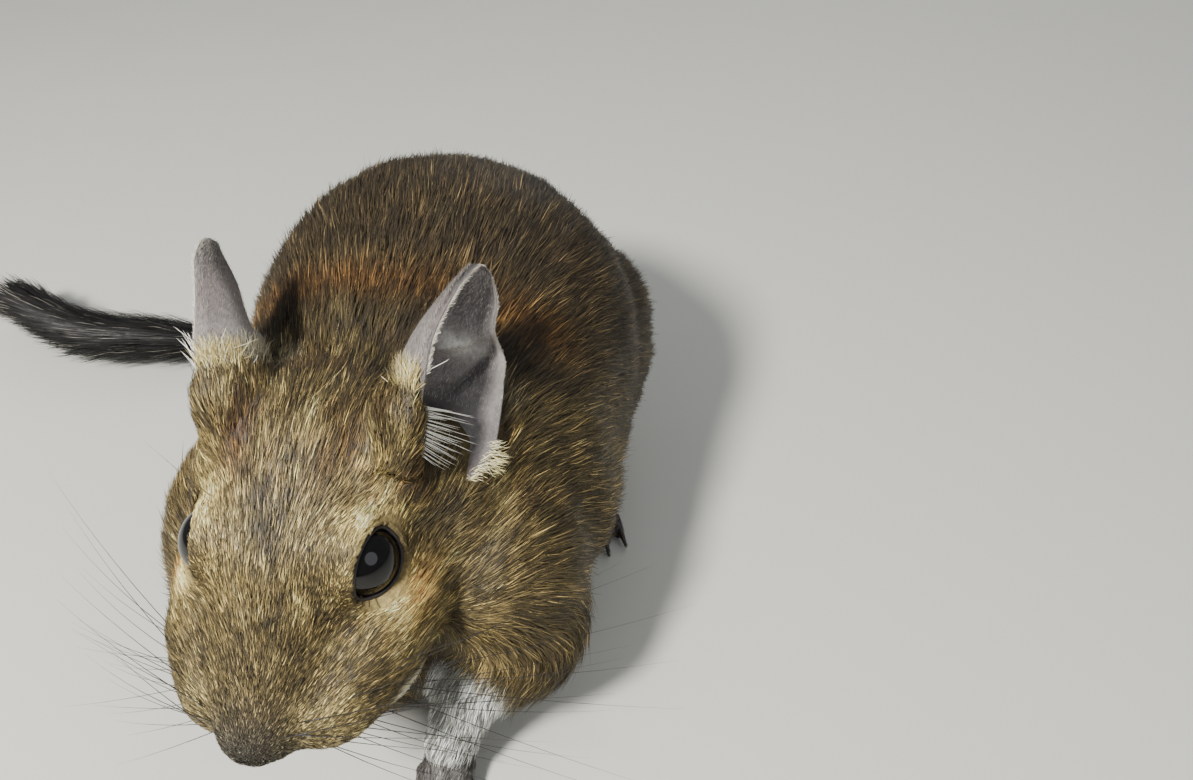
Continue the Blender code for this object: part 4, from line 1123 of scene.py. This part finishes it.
# Hair of the ears in sets: shares along and across, count, whether outside, heading along, across and out,
# lengths, colour, half width, raggedness and spread of tone; a count of 0 stands for the strays
EAR_HAIR = (
    ((0.35, 0.98), (-1, 1), 4000, False, (1, 0, 0.5), (0.2, 0.45), (150, 146, 142), 0.024, 0.2, 0.25),
    ((0.40, 0.98), (-1, 1), 5000, True, (1, 0, 0.5), (0.25, 0.55), (140, 134, 126), 0.026, 0.2, 0.25),
    ((0.45, 1.0), (-1, -0.94), 900, False, (1, -0.5, 0.5), (0.4, 0.9), (196, 190, 178), 0.033, 0.2, 0.25),
    ((0.25, 1.0), (0.96, 1), 500, False, (1, 0.5, 0.3), (0.25, 0.55), (150, 146, 140), 0.028, 0.2, 0.25),
    ((0.34, 0.47), (-0.9, 0.1), 620, True, (1, 0.0, 0.10), (1.2, 2.5), (196, 187, 158), 0.036, 0.3, 0.4),
    ((0.33, 0.44), (-0.94, -0.5), 300, True, (1, -0.1, 0.16), (1.5, 2.9), (190, 172, 112), 0.04, 0.3, 0.4),
    ((0.34, 0.48), (-1, -0.95), 0, False, (0.8, -0.5, 0.5), (3.0, 5.0), (226, 224, 214), 0.045, 0.2, 0.1),
    ((0.08, 0.20), (0.75, 1.0), 150, True, (0.2, 0.9, 0.2), (1.8, 3.2), (214, 202, 148), 0.04, 0.3, 0.3),
    ((0.04, 0.24), (0.9, 1.0), 90, False, (0.3, 0.9, 0.4), (1.4, 2.6), (206, 198, 160), 0.036, 0.3, 0.3))
EAR_STRAYS = {"left": 1, "right": 16}
FAN_HAIRS = 80


def make_ear_hair(key, side, material):
    """Down on both faces of an ear, the tufts round its root, and the fan of white hairs over its hollow."""
    draw = np.random.default_rng(71 + side)
    sets = []
    for t_range, s_range, count, outside, aim, size, colour, width, ragged, spread in EAR_HAIR:
        count = count or EAR_STRAYS[key]
        p, along, over, out = ear_spots(key, side, t_range, s_range, count, outside, draw)
        heading = unit(along * aim[0] + over * aim[1] + out * aim[2])
        heading = unit(heading + draw.normal(0, ragged, heading.shape))
        length = draw.uniform(*size, count)[:, None]
        tint = linear(*colour) * np.exp(draw.normal(0, spread, (count, 1)))
        sets.append((p - heading * 0.2, p + heading * length, out, np.full(count, width), tint))
    axis = ear_frame(key)[1]
    root = ear_spots(key, side, (0.12, 0.32), (-1.0, -0.94), FAN_HAIRS, False, draw)[0]
    tip, _, _, out = ear_spots(key, side, (0.03, 0.34), (0.45, 0.92), FAN_HAIRS, False, draw)
    root, tip = root[np.argsort(root @ axis)], tip[np.argsort(tip @ axis)] + out * 1.4
    tip = root + (tip - root) * draw.uniform(0.55, 1.0, (FAN_HAIRS, 1))
    tint = linear(236, 234, 224) * np.exp(draw.normal(0, 0.15, (FAN_HAIRS, 1)))
    sets.append((root, tip, out, np.full(FAN_HAIRS, 0.042), tint))
    blades = [np.concatenate(values) for values in zip(*sets)]
    return free_blades("ear_hair_" + key, *blades, material, bend=0.08)


# Whiskers


def make_whiskers(material):
    """Long dark vibrissae in rows on the whisker pads, and two over each eye."""
    draw = np.random.default_rng(5)
    parts = []
    for side in SIDES.values():
        for row, column in itertools.product(range(5), range(5)):
            start = np.array((6.0 + 1.0 * column - 0.3 * row, -20.5 + 1.9 * column + 0.3 * row,
                              -3.6 - 1.75 * row - 0.5 * column))
            reach = min((25 + 4.8 * column) * draw.uniform(0.8, 1.05), WHISKER_LIMIT)
            aim = unit(np.array((0.9, 0.30 - 0.15 * row + 0.05 * column + draw.uniform(-0.07, 0.07),
                                 -0.12 - 0.10 * row + draw.uniform(-0.06, 0.06))))
            parts.append(whisker(start, aim, reach, side, 0.08, draw))
        for n in range(2):
            start = np.array((8.5 + 1.2 * n, 2.5 + 1.3 * n, 4.6))
            aim = unit(np.array((0.55 + 0.1 * n, 0.25, 0.8)))
            parts.append(whisker(start, aim, 10 + 2.0 * n, side, 0.05, draw))
    mesh = new_mesh("whiskers", *merged(parts))
    return add_piece("whiskers", mesh, linear(34, 30, 28), material)


def whisker(start, aim, reach, side, radius, draw):
    """One bowed, tapered whisker."""
    t = np.linspace(0, 1, 9)[:, None]
    droop = np.array((0, 0.10, -0.06)) * draw.uniform(0.4, 1.5)
    path = mirrored(start - aim * 1.2 + aim * reach * t + droop * reach * t ** 2, side)
    points, triangles = tube_mesh(path, radius * (1 - 0.92 * t[:, 0] ** 0.8), 5)
    points = from_head(points)
    points[:, 2] = np.maximum(points[:, 2], 0.3)
    return points, triangles


# Feet


def claw_starts():
    """Where each claw leaves its toe, its heading and its length, in the animal's frame."""
    found = []
    for key, side in SIDES.items():
        feet = ((FORE_WRIST[key], FORE_TURN[key], FORE_TOES, -5.2, 1.9, 1.25, 2.6),
                (HIND_HEEL[key], HIND_TURN[key], HIND_TOES, -0.66 * HIND_FOOT_LENGTH, 2.0, 1.35, 3.0))
        for (x, y), turn, toes, back, height, radius, length in feet:
            toes = [(place, spread, reach, back, height, radius, length) for place, spread, reach in toes]
            if back < -10:
                toes.append((-3.9, -16, 4.4, -0.52 * HIND_FOOT_LENGTH, 1.9, 1.15, 2.2))
            for place, spread, reach, root, rise, size, claw in toes:
                heading = math.radians(side * spread)
                ahead = np.array((math.sin(heading), -math.cos(heading), 0))
                start = np.array((side * place, root, rise)) + ahead * reach
                start[2] = size * 0.85
                start = start + ahead * size * 0.45 + np.array((0, 0, size * 0.40))
                turned = np.array(Matrix.Rotation(math.radians(turn), 3, "Z"))
                found.append((turned @ start + np.array((x, y, 0)), turned @ ahead, claw, size))
    return found


def make_claws(material):
    """Curved dark claws, thick at the toe and thin at the point."""
    parts = []
    t = np.linspace(0, 1, 9)
    for start, ahead, length, size in claw_starts():
        path = start * np.array((1, 1, 0)) + ahead * (length * t)[:, None] - ahead * 0.35
        radii = size * 0.44 * (1 - t) ** 0.62 + 0.05
        path[:, 2] = np.maximum(0.16 + (start[2] - 0.16) * (1 - t ** 2.2), radii + 0.02)
        parts.append(tube_mesh(path, radii, 10))
    points, triangles = merged(parts)
    colour = mix(linear(56, 48, 42), linear(120, 108, 92), ramp(1.2, 0.2, points[:, 2]))
    return add_piece("claws", new_mesh("claws", points, triangles), colour, material)


# Tail


def make_tuft(material):
    """The black brush on the last part of the tail, on a thin core."""
    draw = np.random.default_rng(17)
    core = TAIL_PATH[int(round(TUFT_START * (len(TAIL_PATH) - 1))):]
    points, triangles = tube_mesh(core, 1.9 * (1 - 0.7 * np.linspace(0, 1, len(core)) ** 2), 20)
    add_piece("tuft_core", new_mesh("tuft_core", points, triangles), linear(30, 28, 27), material)
    count = TUFT_HAIRS
    u = draw.random(count) ** 0.85
    at = u * (len(core) - 1.001)
    index = at.astype(int)
    step = core[index + 1] - core[index]
    root = core[index] + step * (at - index)[:, None]
    along = unit(step)
    across = unit(np.cross(along, np.array((0, 0, 1.0))))
    turn = draw.uniform(0, 2 * math.pi, count)
    out = across * np.cos(turn)[:, None] + np.cross(across, along) * np.sin(turn)[:, None]
    size = draw.uniform(9.0, 17.0, count) * (0.62 + 0.38 * ramp(0, 0.25, u)) * (1 - 0.22 * u)
    splay = draw.uniform(0.12, 0.36, count) * (1 + 0.35 * noise(root + out * 3, 3.0, 4))
    tip = root + along * (size * np.cos(splay))[:, None] + out * (size * np.sin(splay) + 1.2)[:, None]
    tip[:, 2] = np.maximum(tip[:, 2], 0.2)
    tint = linear(24, 23, 23) * np.exp(draw.normal(0, 0.5, (count, 1)))
    grey = draw.random(count) < 0.05
    tint[grey] = linear(120, 116, 108) * draw.uniform(0.5, 1.1, (grey.sum(), 1))
    widths = draw.uniform(0.07, 0.12, count)
    brush = free_blades("tail_brush", root + out * 1.2, tip, out, widths, tint, material,
                        bend=0.07, slot="hair")
    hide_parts("tail_tuft")


# Camera, light and floor

CAMERA_FROM_EYE = np.array((41.8, -72.8, 92.6))
LOOK = Vector((-0.133, 0.754, -0.643))
PHOTO_WIDTH = 1193
FOCAL_PIXELS = 1000.0
SENSOR = 36.0


def make_camera():
    data = bpy.data.cameras.new("photo_camera")
    data.sensor_width = SENSOR
    data.lens = FOCAL_PIXELS / PHOTO_WIDTH * SENSOR
    data.clip_start = 0.005
    data.clip_end = 20.0
    camera = bpy.data.objects.new("photo_camera", data)
    bpy.context.scene.collection.objects.link(camera)
    camera.location = Vector((box_middle("eye_left") + CAMERA_FROM_EYE) * MM)
    camera.rotation_mode = "QUATERNION"
    camera.rotation_quaternion = LOOK.to_track_quat("-Z", "Y")
    bpy.context.scene.camera = camera


def add_lamp(name, place, target, size, power, colour):
    data = bpy.data.lights.new(name, "AREA")
    data.shape = "DISK"
    data.size = size
    data.energy = power
    data.color = colour
    lamp = bpy.data.objects.new(name, data)
    bpy.context.scene.collection.objects.link(lamp)
    lamp.location = Vector(place)
    lamp.rotation_mode = "QUATERNION"
    lamp.rotation_quaternion = (Vector(target) - Vector(place)).to_track_quat("-Z", "Y")


def make_stage():
    """A plain pale floor under soft studio light."""
    world = bpy.data.worlds.new("studio")
    bpy.context.scene.world = world
    world.use_nodes = True
    world.node_tree.nodes["Background"].inputs["Color"].default_value = (0.93, 0.96, 1.0, 1)
    world.node_tree.nodes["Background"].inputs["Strength"].default_value = 0.28
    focus = (0.0, 0.0, 0.03)
    add_lamp("key", (-0.10, -0.34, 0.40), focus, 0.09, 6.0, (1.0, 0.98, 0.93))
    add_lamp("fill", (0.60, -0.30, 0.45), focus, 0.5, 1.2, (0.95, 0.97, 1.0))
    add_lamp("rim", (0.15, 0.65, 0.50), focus, 0.45, 1.2, (1.0, 0.99, 0.97))
    size = 3.0
    mesh = bpy.data.meshes.new("floor")
    mesh.from_pydata([(-size, -size, 0), (size, -size, 0), (size, size, 0), (-size, size, 0)], [],
                     [(0, 1, 2, 3)])
    floor = bpy.data.objects.new("floor", mesh)
    bpy.context.scene.collection.objects.link(floor)
    material, tree, shader = new_material("pale_floor", 0.6, 0.3)
    shader.inputs["Base Color"].default_value = (*linear(205, 205, 198), 1)
    tree.links.new(remap(tree, object_noise(tree, 40.0), 0.5, 0.7), shader.inputs["Roughness"])
    mesh.materials.append(material)


# Putting it together


def main():
    make_camera()
    make_stage()
    fur = make_coat(*make_skin())
    ear_skin, lid_skin, eye = make_material("ear_skin"), make_material("lid"), make_material("eye")
    for key, side in SIDES.items():
        make_eye(key, side, eye)
        make_lids(key, side, lid_skin)
        make_ear(key, side, ear_skin)
        make_ear_hair(key, side, fur)
    make_whiskers(make_material("claw"))
    make_claws(make_material("claw"))
    make_tuft(fur)


main()
